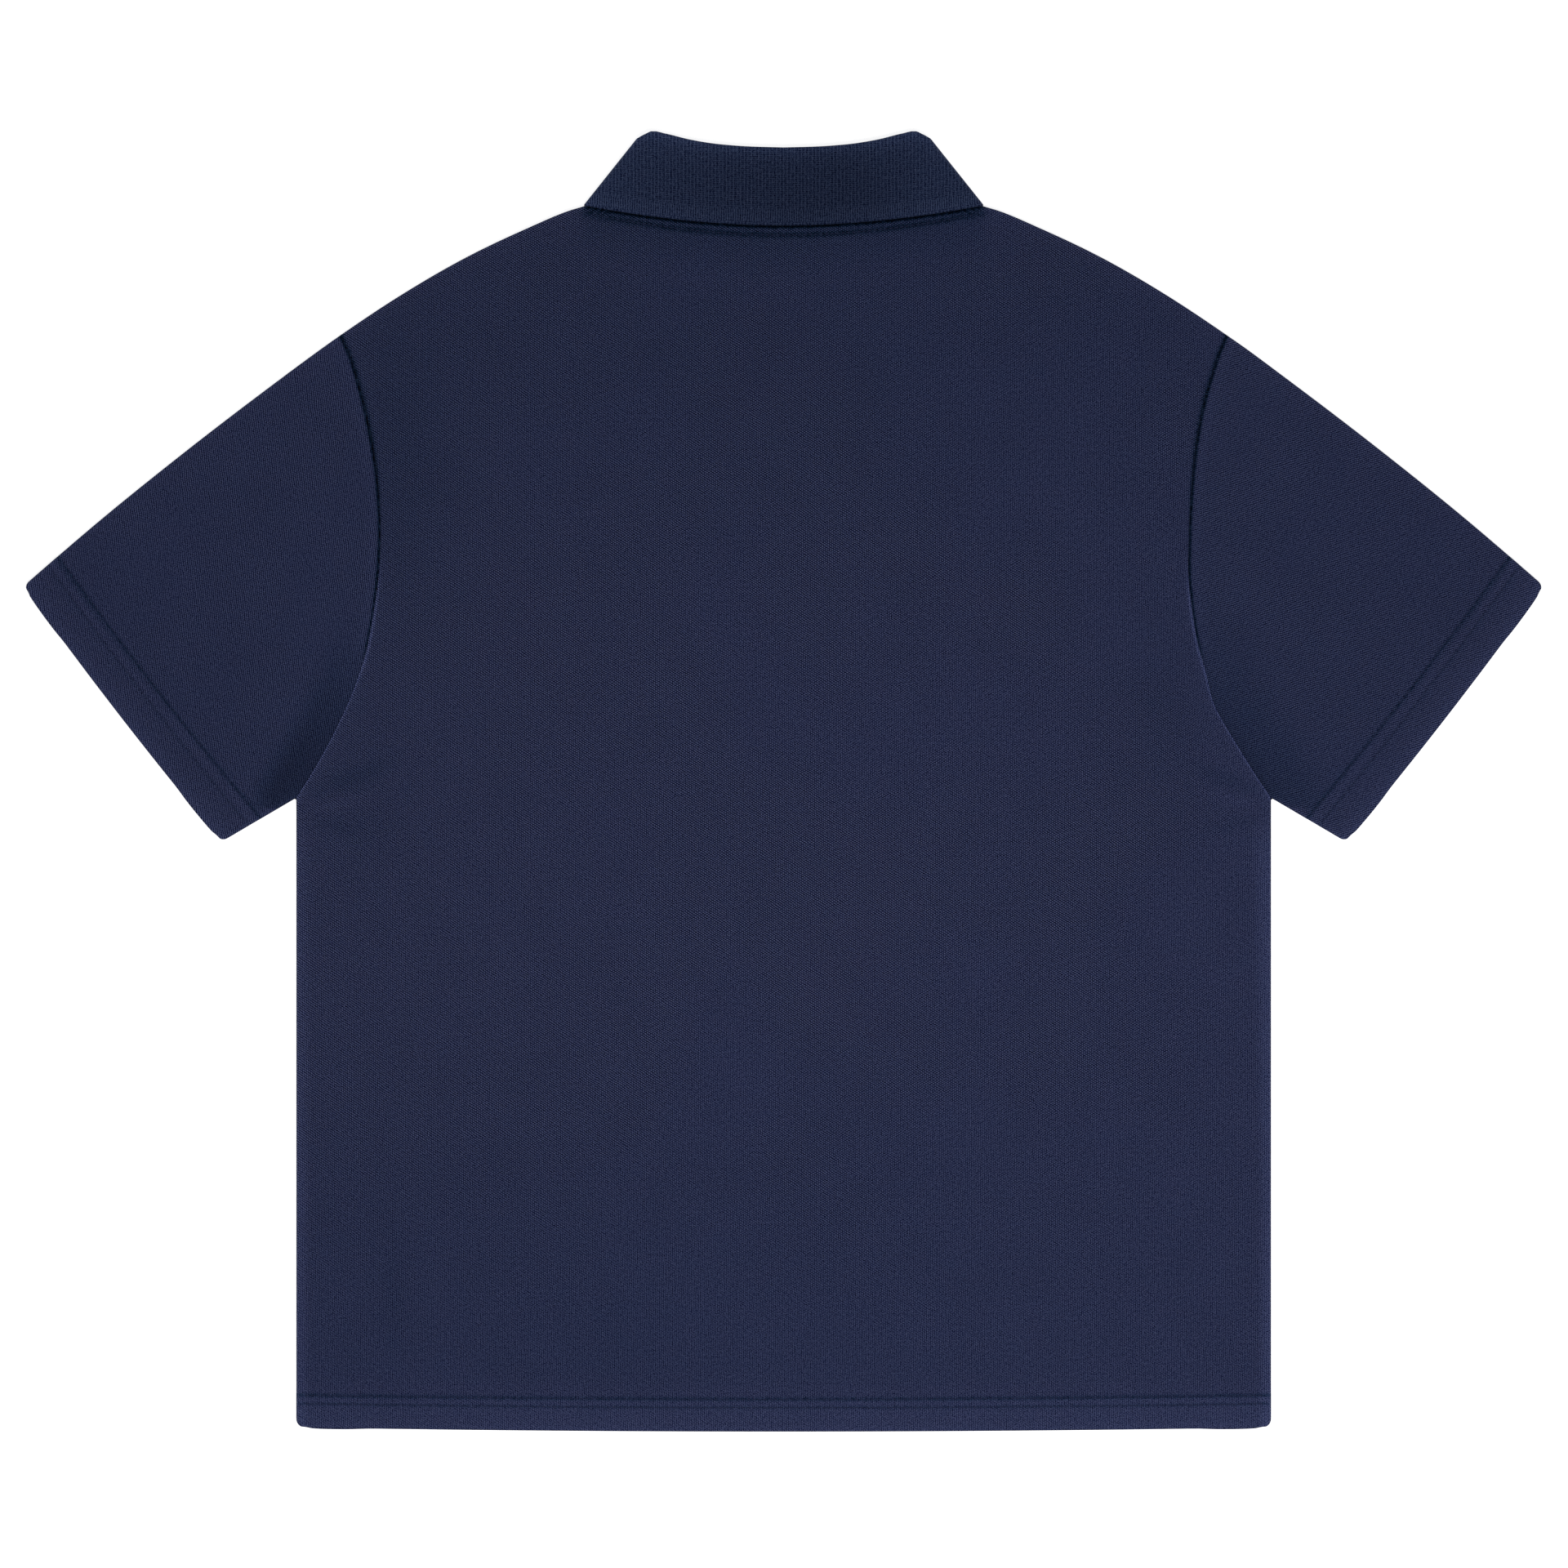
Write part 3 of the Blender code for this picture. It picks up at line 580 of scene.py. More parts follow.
def body_shade(x, y):
    """The body's broad painted light and shade: lighter hem and sides, darker shoulders and lower half, and
    darker painted patches.
    """
    from_hem = y - hem(x)
    band = 0.19 * fade(from_hem, HEM_ROWS[0], 1.2) + 0.12 * hump(from_hem - 1.6, 1.2)
    above = 0.07 * fade(from_hem, 20.0, 11.0)
    from_side = CHEST_WIDTH / 2 - np.abs(x)
    right = x > 0
    reach = np.where(right, 11.0 - 5.0 * ease(-y / 250.0), 8.0 - 2.0 * ease(-y / 300.0))
    strength = np.where(right, 0.3, 0.16 + 0.1 * ease((-y - 40.0) / 200.0))
    sides = strength * ease((-14.0 - y) / 25.0) * fade(from_side, 2.5, reach)
    darker = 0.07 * ease((y - 60.0) / 200.0)
    darker = darker + 0.06 * ease((-y - 90.0) / 200.0) * (1 - 0.5 * ease(x / 250.0))
    patches = 0.0
    for px, py, across, up, amount in PATCHES:
        patches = patches + amount * hump(np.hypot((x - px) / across, (y - py) / up), 1.0)
    return 1.0 + np.maximum(band, above) + sides + rim_light(x, y) - darker - patches


def back_line_shading(x, y):
    # Painted shadow just under the collar's edge, and painted shade along the neck row and between it and the
    # collar
    below = collar_edge(x) - y
    row = 0.5 * hump(y - neck_row(x), 1.5)
    between = 0.1 * fade(below, 5.0, 5.0)
    shadow = 0.9 * ease((below + 3.5) / 2.0) * fade(below, 1.0, 1.7)
    return body_line_shading(x, y) - in_neck_row(x) * np.maximum(row + between, shadow)


def back_shade(x, y):
    # Painted shade below the collar, and painted light and shade along the underarm creases
    under_collar = 0.12 * in_neck_row(x) * fade(collar_edge(x) - y, 8.0, 26.0)
    return body_shade(x, y) - under_collar + 0.25 * creases(x, y, UNDERARM_CREASES)


def sleeve_line_shading(x, y):
    # Painted shade in the armhole's groove with a painted light band beside it, and painted shade along the
    # cuff's rows
    off, _, up = armhole_seam(x, y)
    groove = ease((up - 0.28) / 0.06)
    seam = groove * (0.8 * hump(off, 0.85) - 0.1 * hump(off - 3.6, 2.0))
    distance = cuff_distance(x, y)
    rows = 0.42 * hump(distance - CUFF_ROWS[0], 1.05) + 0.13 * hump(distance - CUFF_ROWS[1], 0.9)
    return 1.0 - seam - rows


def sleeve_shade(x, y, left):
    """Painted light and shade: the sleeve is lighter at its cuff, and painted darker where it lies low beside
    the lower armhole.
    """
    off, _, up = armhole_seam(x, y)
    distance = cuff_distance(x, y)
    cuff = 0.4 * np.exp(-np.maximum(distance, 0.0) / 5.5) + 0.1 * hump(distance - 22.5, 2.4)
    if left:
        low = 0.38 * fade(up, 0.0, 0.42) * fade(off, 12.0, 17.0)
    else:
        low = 0.42 * fade(up, 0.0, 0.5) * (0.6 * np.exp(-off / 4.5) + 0.4 * fade(off, 14.0, 26.0))
    return 0.95 + cuff + rim_light(x, y) - low


# ---- Meshes ----


def grid_normals(points, closed):
    """The normal at each point of a grid of rows and columns, from the cells around it."""
    if closed:
        points = np.concatenate([points, points[:, :1]], axis=1)
    face = np.cross(points[1:, 1:] - points[:-1, :-1], points[1:, :-1] - points[:-1, 1:])
    normal = np.zeros(points.shape)
    for rows in (slice(None, -1), slice(1, None)):
        for columns in (slice(None, -1), slice(1, None)):
            normal[rows, columns] += face
    if closed:
        normal[:, 0] += normal[:, -1]
        normal = normal[:, :-1]
    return normal / np.maximum(np.linalg.norm(normal, axis=-1, keepdims=True), 1e-12)


def as_photographed(places):
    """Places moved by the little that the plain plan leaves out: the two armholes differ, and what
    lies high is drawn in, so that the camera sees it where the photo has it."""
    places = places.copy()
    x, y = places[..., 0], places[..., 1]
    near = hump(x - armhole(y), ARMHOLE_REACH) * (y > UNDERARM_Y) * (y < SHOULDER_TIP[1])
    places[..., 0] += right_armhole(y) * near
    centre = np.array(FRAME_CENTRE)
    nearer = np.maximum(places[..., 2:] - FLAT_HEIGHT, 0.0) / CAMERA_DISTANCE
    places[..., :2] -= (places[..., :2] - centre) * nearer
    return places


def shell(name, points, wall, grain, line_shading, shade=1.0, inset=None, keep=None, closed=False, turned=False):
    """A closed shell: its outside is the grid of points, and its wall grows inwards from it.

    inset is how far each point lies in from a free edge, which is rounded. keep says which cells are
    there. closed joins the last column to the first, and turned swaps the two sides."""
    rows, columns = points.shape[:2]
    normal = grid_normals(points, closed) * (-1.0 if turned else 1.0)
    wall = np.broadcast_to(wall, (rows, columns))
    full = np.ones((rows, columns))
    if inset is not None:
        reach = np.clip(1 - inset / (wall / 2), 0, 1)
        full = np.maximum(np.sqrt(1 - reach**2), 0.06)
    outer = points - normal * (wall / 2 * (1 - full))[..., None]
    inner = points - normal * (wall / 2 * (1 + full))[..., None]
    number = np.arange(rows * columns).reshape(rows, columns)
    if closed:
        number = np.concatenate([number, number[:, :1]], axis=1)
    corners = (number[:-1, :-1], number[:-1, 1:], number[1:, 1:], number[1:, :-1])
    cells = np.stack(corners, axis=-1).reshape(-1, 4)
    if keep is not None:
        cells = cells[keep.ravel()]
    if turned:
        cells = cells[:, ::-1]
    count = rows * columns
    edges = np.concatenate([cells[:, [k, (k + 1) % 4]] for k in range(4)])
    free = ~np.isin(edges[:, 0] * count + edges[:, 1], edges[:, 1] * count + edges[:, 0])
    start, end = edges[free].T
    rim = np.stack([end, start, start + count, end + count], axis=-1)
    faces = np.concatenate([cells, cells[:, ::-1] + count, rim])
    used, faces = np.unique(faces, return_inverse=True)
    places = as_photographed(np.concatenate([outer.reshape(-1, 3), inner.reshape(-1, 3)])[used]) * MM
    mesh = bpy.data.meshes.new(name)
    mesh.from_pydata(places.tolist(), [], faces.reshape(-1, 4).tolist())
    corner_point = np.zeros(len(mesh.loops), np.int32)
    mesh.loops.foreach_get("vertex_index", corner_point)
    grain = np.tile(grain.reshape(-1, 2), (2, 1))[used] * MM
    mesh.uv_layers.new(name="grain").data.foreach_set("uv", grain[corner_point].ravel())
    # The painted light and shade, as two attributes that scale the colour: sharp lines, and broad shade
    for kind, values in (("line_shading", line_shading), ("shade", shade)):
        values = np.tile(np.broadcast_to(values, (rows, columns)).ravel(), 2)[used]
        mesh.attributes.new(kind, "FLOAT", "POINT").data.foreach_set("value", values)
    mesh.shade_smooth()
    return linked(name, mesh)


def mirrored(points):
    return points * np.array([-1.0, 1.0, 1.0])


def sleeve_grain(x, y):
    """Places across and along the sleeve's knit, which runs from shoulder to cuff."""
    down = math.radians(39.5)
    along = x * math.cos(down) - y * math.sin(down)
    across = x * math.sin(down) + y * math.cos(down)
    return np.stack([across, along], axis=-1)


# ---- Body panels ----


def panel_columns(width):
    """The x of each column on the side of +X, in a row where the panel is this wide."""
    inner = np.concatenate([[2.9, 8.7, 13.5, PLACKET_SLOT_X], np.arange(22.0, 94.0, 6.0), NECK_COLUMNS])
    outer = np.linspace(NECK_COLUMNS[-1], width - EDGE_STEPS[-1], 22)[1:-1]
    return np.concatenate([inner, outer, width - np.array(EDGE_STEPS[::-1])])


def panel_top(x, width, neck):
    """The y of a panel's top edge above a place x, in a row where the panel is this wide."""
    straight = NECK_COLUMNS[-1]
    beyond = np.maximum(np.abs(x) - straight, 0.0)
    top_x = np.abs(x) - beyond + beyond * (SHOULDER_TIP[0] - straight) / (width - straight)
    return np.where(top_x < NECK_POINT[0], neck(top_x), shoulder(top_x))


HEM_LINES = hem_lines(HEM_ROWS, 28.0)
SIDE_LINES = [*np.linspace(-340.0, -42.0, 52), *np.linspace(-38.0, -12.0, 13), -9.6, -7.0, -4.5, -2.0]
SIDE_LINES += [*np.linspace(0.5, 36.0, 16), *np.linspace(41.0, PLACKET_END_SIDE_Y, 11)]
SIDE_LINES += np.linspace(99.0, 230.0, 26).tolist()


def panel_plan(neck):
    """The plan of a body panel, row by row from its hem to its top, where neck is its neckline."""
    tip_y = SHOULDER_TIP[1]
    side_hem = float(hem(CHEST_WIDTH / 2))
    plan = []
    rows = [(side_hem + step, step, None) for step in HEM_LINES]
    rows += [(y, None, None) for y in SIDE_LINES]
    rows += [(tip_y - step, None, step) for step in reversed(TOP_STEPS)]
    for side_y, from_hem, from_top in rows:
        width = float(half_width(side_y))
        half = panel_columns(width)
        x = np.concatenate([-half[::-1], half])
        top_y = panel_top(x, width, neck)
        if from_hem is not None:
            y = hem(x) + from_hem
        elif from_top is not None:
            y = top_y - from_top
        else:
            y = hem(x) + (top_y - hem(x)) * (side_y - side_hem) / (tip_y - side_hem)
        plan.append(np.stack([x, y], axis=-1))
    return np.array(plan)


def slot_row():
    """The row of the front panel where the slot for the placket ends."""
    return len(HEM_LINES) + SIDE_LINES.index(PLACKET_END_SIDE_Y)


def cloth_wall(x, y):
    return CLOTH + (HEM_CLOTH - CLOTH) * in_hem(x, y)


def panel(name, plan, layer, grain, line_shading, shade, **sides):
    """A body panel on its plan. Its layer is 0 for the lower one and 1 for the upper one."""
    x, y = plan[..., 0], plan[..., 1]
    points = points_at(x, y, back_levels(x, y)[layer])
    wall, inset = cloth_wall(x, y), y - hem(x)
    return shell(name, points, wall, grain, line_shading(x, y), shade(x, y), inset=inset, **sides)


def back_panel():
    plan = panel_plan(back_neck)
    return panel("back_cloth", plan, 1, plan, back_line_shading, back_shade)


def front_panel():
    plan = panel_plan(front_neck)
    x = plan[0, :, 0]
    keep = np.ones((plan.shape[0] - 1, plan.shape[1] - 1), bool)
    keep[slot_row() :, np.abs(x[1:] + x[:-1]) / 2 < PLACKET_SLOT_X] = False
    grain = plan * np.array([-1.0, 1.0])
    return panel("front_cloth", plan, 0, grain, body_line_shading, body_shade, keep=keep, turned=True)


# ---- Sleeves ----

CUFF_LINES = hem_lines(CUFF_ROWS, 31.0)
SLEEVE_EDGE = (0.0, 0.03, 0.12, 0.3, 0.6, 1.0, 1.5, 2.1, 3.0, 4.2, 6.0, 9.0, 13.0)


def ring_shares(length):
    """Grid lines over one layer of the sleeve, close together at both folds, as shares of its width."""
    edge = np.array(SLEEVE_EDGE)
    middle = np.linspace(edge[-1], length - edge[-1], 46)[1:-1]
    return np.concatenate([edge, middle, length - edge[::-1]]) / length


def sleeve_rows():
    """The plan of the sleeve's upper layer: rows from armhole to cuff, columns from underarm to shoulder."""
    rise = SHOULDER_TIP[1] - UNDERARM_Y
    width = math.dist(CUFF_LOW, CUFF_HIGH)
    at_armhole, at_cuff = ring_shares(rise), ring_shares(width)
    band = CUFF_LINES[-1]
    length = sleeve_length(at_armhole)
    scale = np.minimum(1.0, 0.25 * (length - band) / EDGE_STEPS[-2])
    rows = []
    for distance in EDGE_STEPS[:-1]:
        start = distance / (length - band) * scale
        rows.append(sleeve_plan(at_armhole, start * (1 - band / length)))
    for step in np.linspace(0.0, 1.0, 28)[1:-1]:
        part = start + (1 - start) * step
        around = (1 - step) * at_armhole + step * at_cuff
        rows.append(sleeve_plan(around, part * (1 - band / sleeve_length(around))))
    for distance in reversed(CUFF_LINES):
        inset = corner_inset(distance, CUFF_RADIUS) / width
        around = inset + (1 - 2 * inset) * at_cuff
        rows.append(sleeve_plan(around, 1 - distance / sleeve_length(around)))
    plan = np.array(rows)
    slope = np.gradient(plan[0, :, 0], plan[0, :, 1])
    outward = np.stack([np.ones_like(slope), -slope], axis=-1) / np.hypot(1.0, slope)[:, None]
    near = np.full(len(plan), 99.0)
    near[: len(EDGE_STEPS) - 1] = EDGE_STEPS[:-1]
    return plan - SEAM_OVERLAP * outward * hump(near, 6.0)[:, None, None]


def sleeve(side, table, left):
    plan = sleeve_rows()
    x, y = plan[..., 0], plan[..., 1]
    lower, upper = sleeve_levels(x, y, table)
    points = np.concatenate([points_at(x, y, upper), points_at(x, y, lower)[:, ::-1]], axis=1)
    x, y = points[..., 0], points[..., 1]
    grain, wall = sleeve_grain(x, y), cloth_wall(x, y)
    steps = np.array(CUFF_LINES[::-1])
    inset = np.full(points.shape[:2], 99.0)
    inset[-len(steps) :] = steps[:, None]
    if left:
        points = mirrored(points)
    else:
        grain = grain * np.array([-1.0, 1.0])
    line_shading, shade = sleeve_line_shading(x, y), sleeve_shade(x, y, left)
    name = f"sleeve_{side}_cloth"
    return shell(name, points, wall, grain, line_shading, shade, inset=inset, closed=True, turned=not left)


# ---- Collar ----

FALL_ROLL_RADIUS = 1.65
FALL_SWELL = 0.9
SIDE_BEND_POWER = 12
COLLAR_FRONT_REACH = 120.0
SIDE_STEPS = (1.0, 0.82, 0.62, 0.42, 0.25, 0.12, 0.04)
ROLL_ANGLES = np.linspace(0.0, 180.0, 13)[1:-1]
STAND_SHARES = np.linspace(0.0, 1.0, 8)[:-1]
FALL_STEPS = (4.0, 8.0, 12.0, 17.0, 22.0, 27.0, 32.0, 36.0)
EDGE_INSETS = (3.2, 2.2, 1.5, 0.9, 0.5, 0.2, 0.0)


def neck_seam(x, front):
    """A place on the collar's seam, clear of the panel's neckline by the gap."""
    if not front:
        return x, float(back_neck(x)) + GAP
    slope = (front_neck(x + 0.01) - front_neck(x - 0.01)) / 0.02
    length = math.hypot(1.0, slope)
    return x - GAP * slope / length, float(front_neck(x)) + GAP / length


def seam_line(front, share):
    """share runs from the centre back (0) to the side (1), or from the side (0) to the front end (1)."""
    side_x, side_y = COLLAR_SEAM_SIDE
    if front:
        x, y = neck_seam(side_x + (FRONT_END_X - side_x) * share, True)
        to_side = (1 - share) ** SIDE_BEND_POWER
    else:
        x, y = neck_seam(side_x * share, False)
        to_side = share**SIDE_BEND_POWER
    start_x, start_y = neck_seam(side_x, front)
    return x + (side_x - start_x) * to_side, y + (side_y - start_y) * to_side


def roll_line(table, at, front, share):
    side_x, side_y = table[-1]
    if not front:
        return side_x * share, float(at(side_x * share))
    end_y = FRONT_NECK_Y + FRONT_STAND - ROLL_RADIUS
    x = side_x + (FRONT_END_X - side_x) * share
    return x, end_y + (side_y - end_y) * (x / side_x) ** FRONT_ROLL_POWER


def stand_roll(front, share):
    return roll_line(STAND_TOP, stand_top, front, share)


def fall_roll(front, share):
    return roll_line(FALL_TOP, fall_top, front, share)


def fall_edge(front, share):
    corner_x, corner_y = COLLAR_SIDE_CORNER
    if front:
        end_x, end_y = COLLAR_POINT
        return corner_x + (end_x - corner_x) * share, corner_y + (end_y - corner_y) * share
    return corner_x * share, FALL_BACK_Y + (corner_y - FALL_BACK_Y) * share**FALL_EDGE_POWER


COLLAR_LINES = (
    # plan, height at the back, height at the front
    (seam_line, STAND_BACK_HEIGHT, STAND_FRONT_HEIGHT),
    (stand_roll, STAND_BACK_HEIGHT, 2 * ROLL_RADIUS),
    (fall_roll, STAND_BACK_HEIGHT + 2 * FALL_ROLL_RADIUS, 0.0),
    (fall_edge, FALL_EDGE_HEIGHT, 0.0),
)


def line_point(line, kind, value):
    """A place on one line of the collar: at its back, at its front, or in the bend between them."""
    plan, back, front = line
    middle, radius = (back + front) / 2, (back - front) / 2
    rise = radius * (1 - (1 - value) ** FOLD_POWER) ** (1 / FOLD_POWER) if kind.startswith("side") else 0.0
    if kind == "back":
        return np.array([*plan(False, value), back])
    if kind == "side back":
        return np.array([*plan(False, 1 - value * radius / plan(False, 1.0)[0]), middle + rise])
    if kind == "side":
        return np.array([*plan(False, 1.0), middle])
    if kind == "side front":
        return np.array([*plan(True, value * radius / COLLAR_FRONT_REACH), middle - rise])
    return np.array([*plan(True, value), front])


def collar_section(kind, value):
    """Across the collar at one place: up the stand, over the roll, down the fall."""
    seam, stand, fall, edge = (line_point(line, kind, value) for line in COLLAR_LINES)
    middle, arm = (stand + fall) / 2, (fall - stand) / 2
    up = (middle - (seam + edge) / 2) * np.array([1.0, 1.0, 0.0])
    up = up / np.linalg.norm(up) * np.linalg.norm(arm)
    section = [seam + (stand - seam) * share for share in STAND_SHARES] + [stand]
    for angle in ROLL_ANGLES:
        turn = math.radians(angle)
        section.append(middle - arm * math.cos(turn) + up * math.sin(turn))
    section.append(fall)
    length = np.linalg.norm((edge - fall)[:2])
    steps = [step * length / 45.0 for step in FALL_STEPS] + [length - inset for inset in EDGE_INSETS]
    over = 1.0 if kind == "back" else 0.0
    if kind == "side back":
        over = value
    for step in steps:
        share = step / length
        point = fall + (edge - fall) * share
        point[2] = fall[2] + (edge[2] - fall[2]) * ease(share * 1.1)
        point[2] += over * FALL_SWELL * ease(step / 9.0) * (1 - ease((share - 0.3) / 0.7))
        section.append(point)
    return section


def collar_shade(x, y, from_edge):
    """Painted light on the collar: lighter over its roll, at its sides and in the band at its edge."""
    across = x - 32.0
    ends = np.where(across < 0, 0.42 * (across / 125.0) ** 2, 0.35 * ease(across / 60.0))
    from_top = fall_top(np.abs(x)) + FALL_ROLL_RADIUS - y
    run = np.array(COLLAR_SIDE_CORNER) - np.array(FALL_TOP[-1])
    from_side = ((FALL_TOP[-1][0] - np.abs(x)) * run[1] + (y - FALL_TOP[-1][1]) * run[0]) / -np.hypot(*run)
    rim = 0.8 * np.exp(-np.maximum(from_top, 0.0) / 5.5) + 0.2 * np.exp(-np.maximum(from_side, 0.0) / 3.0)
    return 1.0 + ends + rim + 0.15 * (1 - ease((from_edge - 7.5) / 2.0))


def collar_sections():
    """Where the collar is cut across, from its centre back round the side to its front end."""
    sections = [("back", share) for share in np.linspace(0.012, 0.93, 34)]
    sections += [("side back", step) for step in SIDE_STEPS]
    sections += [("side", 0.0)]
    sections += [("side front", step) for step in reversed(SIDE_STEPS)]
    return sections + [("front", share) for share in np.linspace(0.06, 1.0, 40)]


def collar_half():
    return np.array([collar_section(kind, value) for kind, value in collar_sections()])


def collar():
    half = collar_half()
    points = np.concatenate([mirrored(half[::-1]), half]).transpose(1, 0, 2)
    to_edge = step_lengths(points)
    from_edge = np.concatenate([np.cumsum(to_edge[::-1], axis=0)[::-1], np.zeros((1, points.shape[1]))])
    corner, tip = np.array(COLLAR_SIDE_CORNER), np.array(COLLAR_POINT)
    leaf = (tip - corner) / np.linalg.norm(tip - corner)
    in_front = np.array([kind.endswith("front") for kind, _ in collar_sections()])
    in_front = np.concatenate([in_front[::-1], in_front])
    along_leaf = (np.abs(points[..., 0]) - corner[0]) * leaf[0] + (points[..., 1] - corner[1]) * leaf[1]
    across = np.where(in_front, np.sign(points[..., 0]) * (corner[0] + along_leaf), points[..., 0])
    grain = np.stack([across, from_edge], axis=-1)
    inset = np.where(from_edge < 5.0, from_edge, 99.0)
    shade = collar_shade(points[..., 0], points[..., 1], from_edge)
    return shell("collar_knit", points, KNIT_WALL, grain, 1.0, shade, inset=inset, turned=True)


# ---- Placket ----


def strip(name, half, above):
    """A strip of the placket in the front's slot, this far above the front's own outside."""
    plan = panel_plan(front_neck)
    centre = plan[slot_row() :, plan.shape[1] // 2, 1].copy()
    centre[0] += PLACKET_END_GAP
    insets = np.array([0.0, 0.06, 0.2, 0.4, 0.6, 1.0, 1.6, 2.4, 3.4])
    x = np.concatenate([-half + insets, np.linspace(-half + 5.0, half - 5.0, 9), half - insets[::-1]])
    y = np.concatenate([centre[0] + insets, centre[centre > centre[0] + 4.5]])
    y = np.repeat(y[:, None], len(x), axis=1)
    y[-1] = front_neck(x)
    x = np.broadcast_to(x, y.shape)
    inset = np.minimum(half - np.abs(x), y - centre[0])
    row = hump(inset - PLACKET_ROW_INSET, 0.6)
    points = points_at(x, y, levels(x, y)[0] + above + 0.18 * row)
    # Painted shade along the placket's row of stitches
    line_shading = 1.0 - 0.25 * row
    grain = np.stack([x, y], axis=-1)
    return shell(name, points, WALL, grain, line_shading, inset=inset, turned=True)


# ---- Materials ----


LEVEL_RANGE = (-50.0, 75.0)
LEVEL_STOPS = 11
LEVEL_GAIN = (1.5, 0.62)  # how strongly the weave darkens, in its deep pinholes, and lightens
PUCKER = 2.8  # how unevenly the painted seam shade darkens the cloth along a seam
PIQUE_MIDDLE = (44.5, 50.0, 78.5)  # the middle colours, in display steps of 0 to 255
KNIT_MIDDLE = (30.0, 38.2, 60.0)
PINHOLES_ACROSS = 2.15  # mm between the pinholes
PINHOLES_ALONG = 1.36
WALE_PITCH = 1.075
KNIT_WALE_PITCH = 1.03
KNIT_COURSE_PITCH = 1.18


def linear(display):
    """Linear light from a display colour of 0 to 255."""
    share = np.asarray(display, float) / 255
    return np.where(share <= 0.04045, share / 12.92, ((share + 0.055) / 1.055) ** 2.4)


class Graph:
    """Short names for the nodes that the materials are made of."""

    def __init__(self, name):
        self.material = bpy.data.materials.new(name)
        self.material.use_nodes = True
        self.tree = self.material.node_tree
        self.shader = self.tree.nodes["Principled BSDF"]

    def node(self, kind, **inputs):
        made = self.tree.nodes.new(kind)
        for key, value in inputs.items():
            self.feed(made.inputs[key.replace("_", " ")], value)
        return made

    def feed(self, socket, value):
        if isinstance(value, bpy.types.NodeSocket):
            self.tree.links.new(value, socket)
        else:
            socket.default_value = value

    def math(self, operation, first, second=0.0):
        made = self.tree.nodes.new("ShaderNodeMath")
        made.operation = operation
        self.feed(made.inputs[0], first)
        self.feed(made.inputs[1], second)
        return made.outputs[0]

    def times(self, first, *others):
        for other in others:
            first = self.math("MULTIPLY", first, other)
        return first

    def span(self, value, low, high, floor=0.0):
        """floor where the value is low, and 1 where it is high."""
        made = self.node("ShaderNodeMapRange", Value=value)
        for key, number in (("From Min", low), ("From Max", high), ("To Min", floor)):
            made.inputs[key].default_value = number
        return made.outputs[0]

    def wave(self, place, pitch):
        """A cosine along a coordinate in metres, with its pitch in millimetres."""
        return self.math("COSINE", self.times(place, 2 * math.pi / (pitch * MM)))

    def sum(self, *terms, start=0.0):
        """Each value times its weight, added up."""
        for value, weight in terms:
            made = self.math("MULTIPLY_ADD", value, weight)
            self.feed(made.node.inputs[2], start)
            start = made
        return start

    def noise(self, vector, size, detail=2.0):
        """Noise from -0.5 to 0.5, with its grain in millimetres."""
        made = self.node("ShaderNodeTexNoise", Vector=vector, Scale=1 / (size * MM), Detail=detail)
        return self.math("SUBTRACT", made.outputs[0], 0.5)

    def ramp(self, level, middle):
        """A colour, from a level in display steps above or below the middle colour."""
        made = self.tree.nodes.new("ShaderNodeValToRGB")
        low, high = LEVEL_RANGE
        self.feed(made.inputs[0], self.math("MULTIPLY_ADD", level, 1 / (high - low)))
        made.inputs[0].links[0].from_node.inputs[2].default_value = -low / (high - low)
        stops = made.color_ramp.elements
        while len(stops) < LEVEL_STOPS:
            stops.new(0.5)
        for index, step in enumerate(np.linspace(low, high, LEVEL_STOPS)):
            gained = step * LEVEL_GAIN[int(step > 0)]
            stops[index].position = index / (LEVEL_STOPS - 1)
            stops[index].color = (*linear(np.clip(np.add(middle, gained), 1.0, 255.0)), 1.0)
        return made.outputs[0]

    def tinted(self, factor, low, high):
        made = self.tree.nodes.new("ShaderNodeMix")
        made.data_type = "RGBA"
        self.feed(made.inputs[0], factor)
        made.inputs[6].default_value = (*low, 1.0)
        made.inputs[7].default_value = (*high, 1.0)
        return made.outputs[2]

    def surface(self, **inputs):
        for key, value in inputs.items():
            self.feed(self.shader.inputs[key.replace("_", " ")], value)

    def finish(self, colour, height, depth, roughness, sheen):
        """Cloth or thread: matte, with a faint bluish sheen."""
        bump = self.node("ShaderNodeBump", Strength=1.0, Distance=depth * MM, Height=height)
        self.surface(Base_Color=colour, Normal=bump.outputs[0], Roughness=roughness, Sheen_Weight=sheen)
        self.surface(Specular_IOR_Level=0.02, Sheen_Roughness=0.45, Sheen_Tint=(0.55, 0.6, 0.85, 1.0))
        return self.material


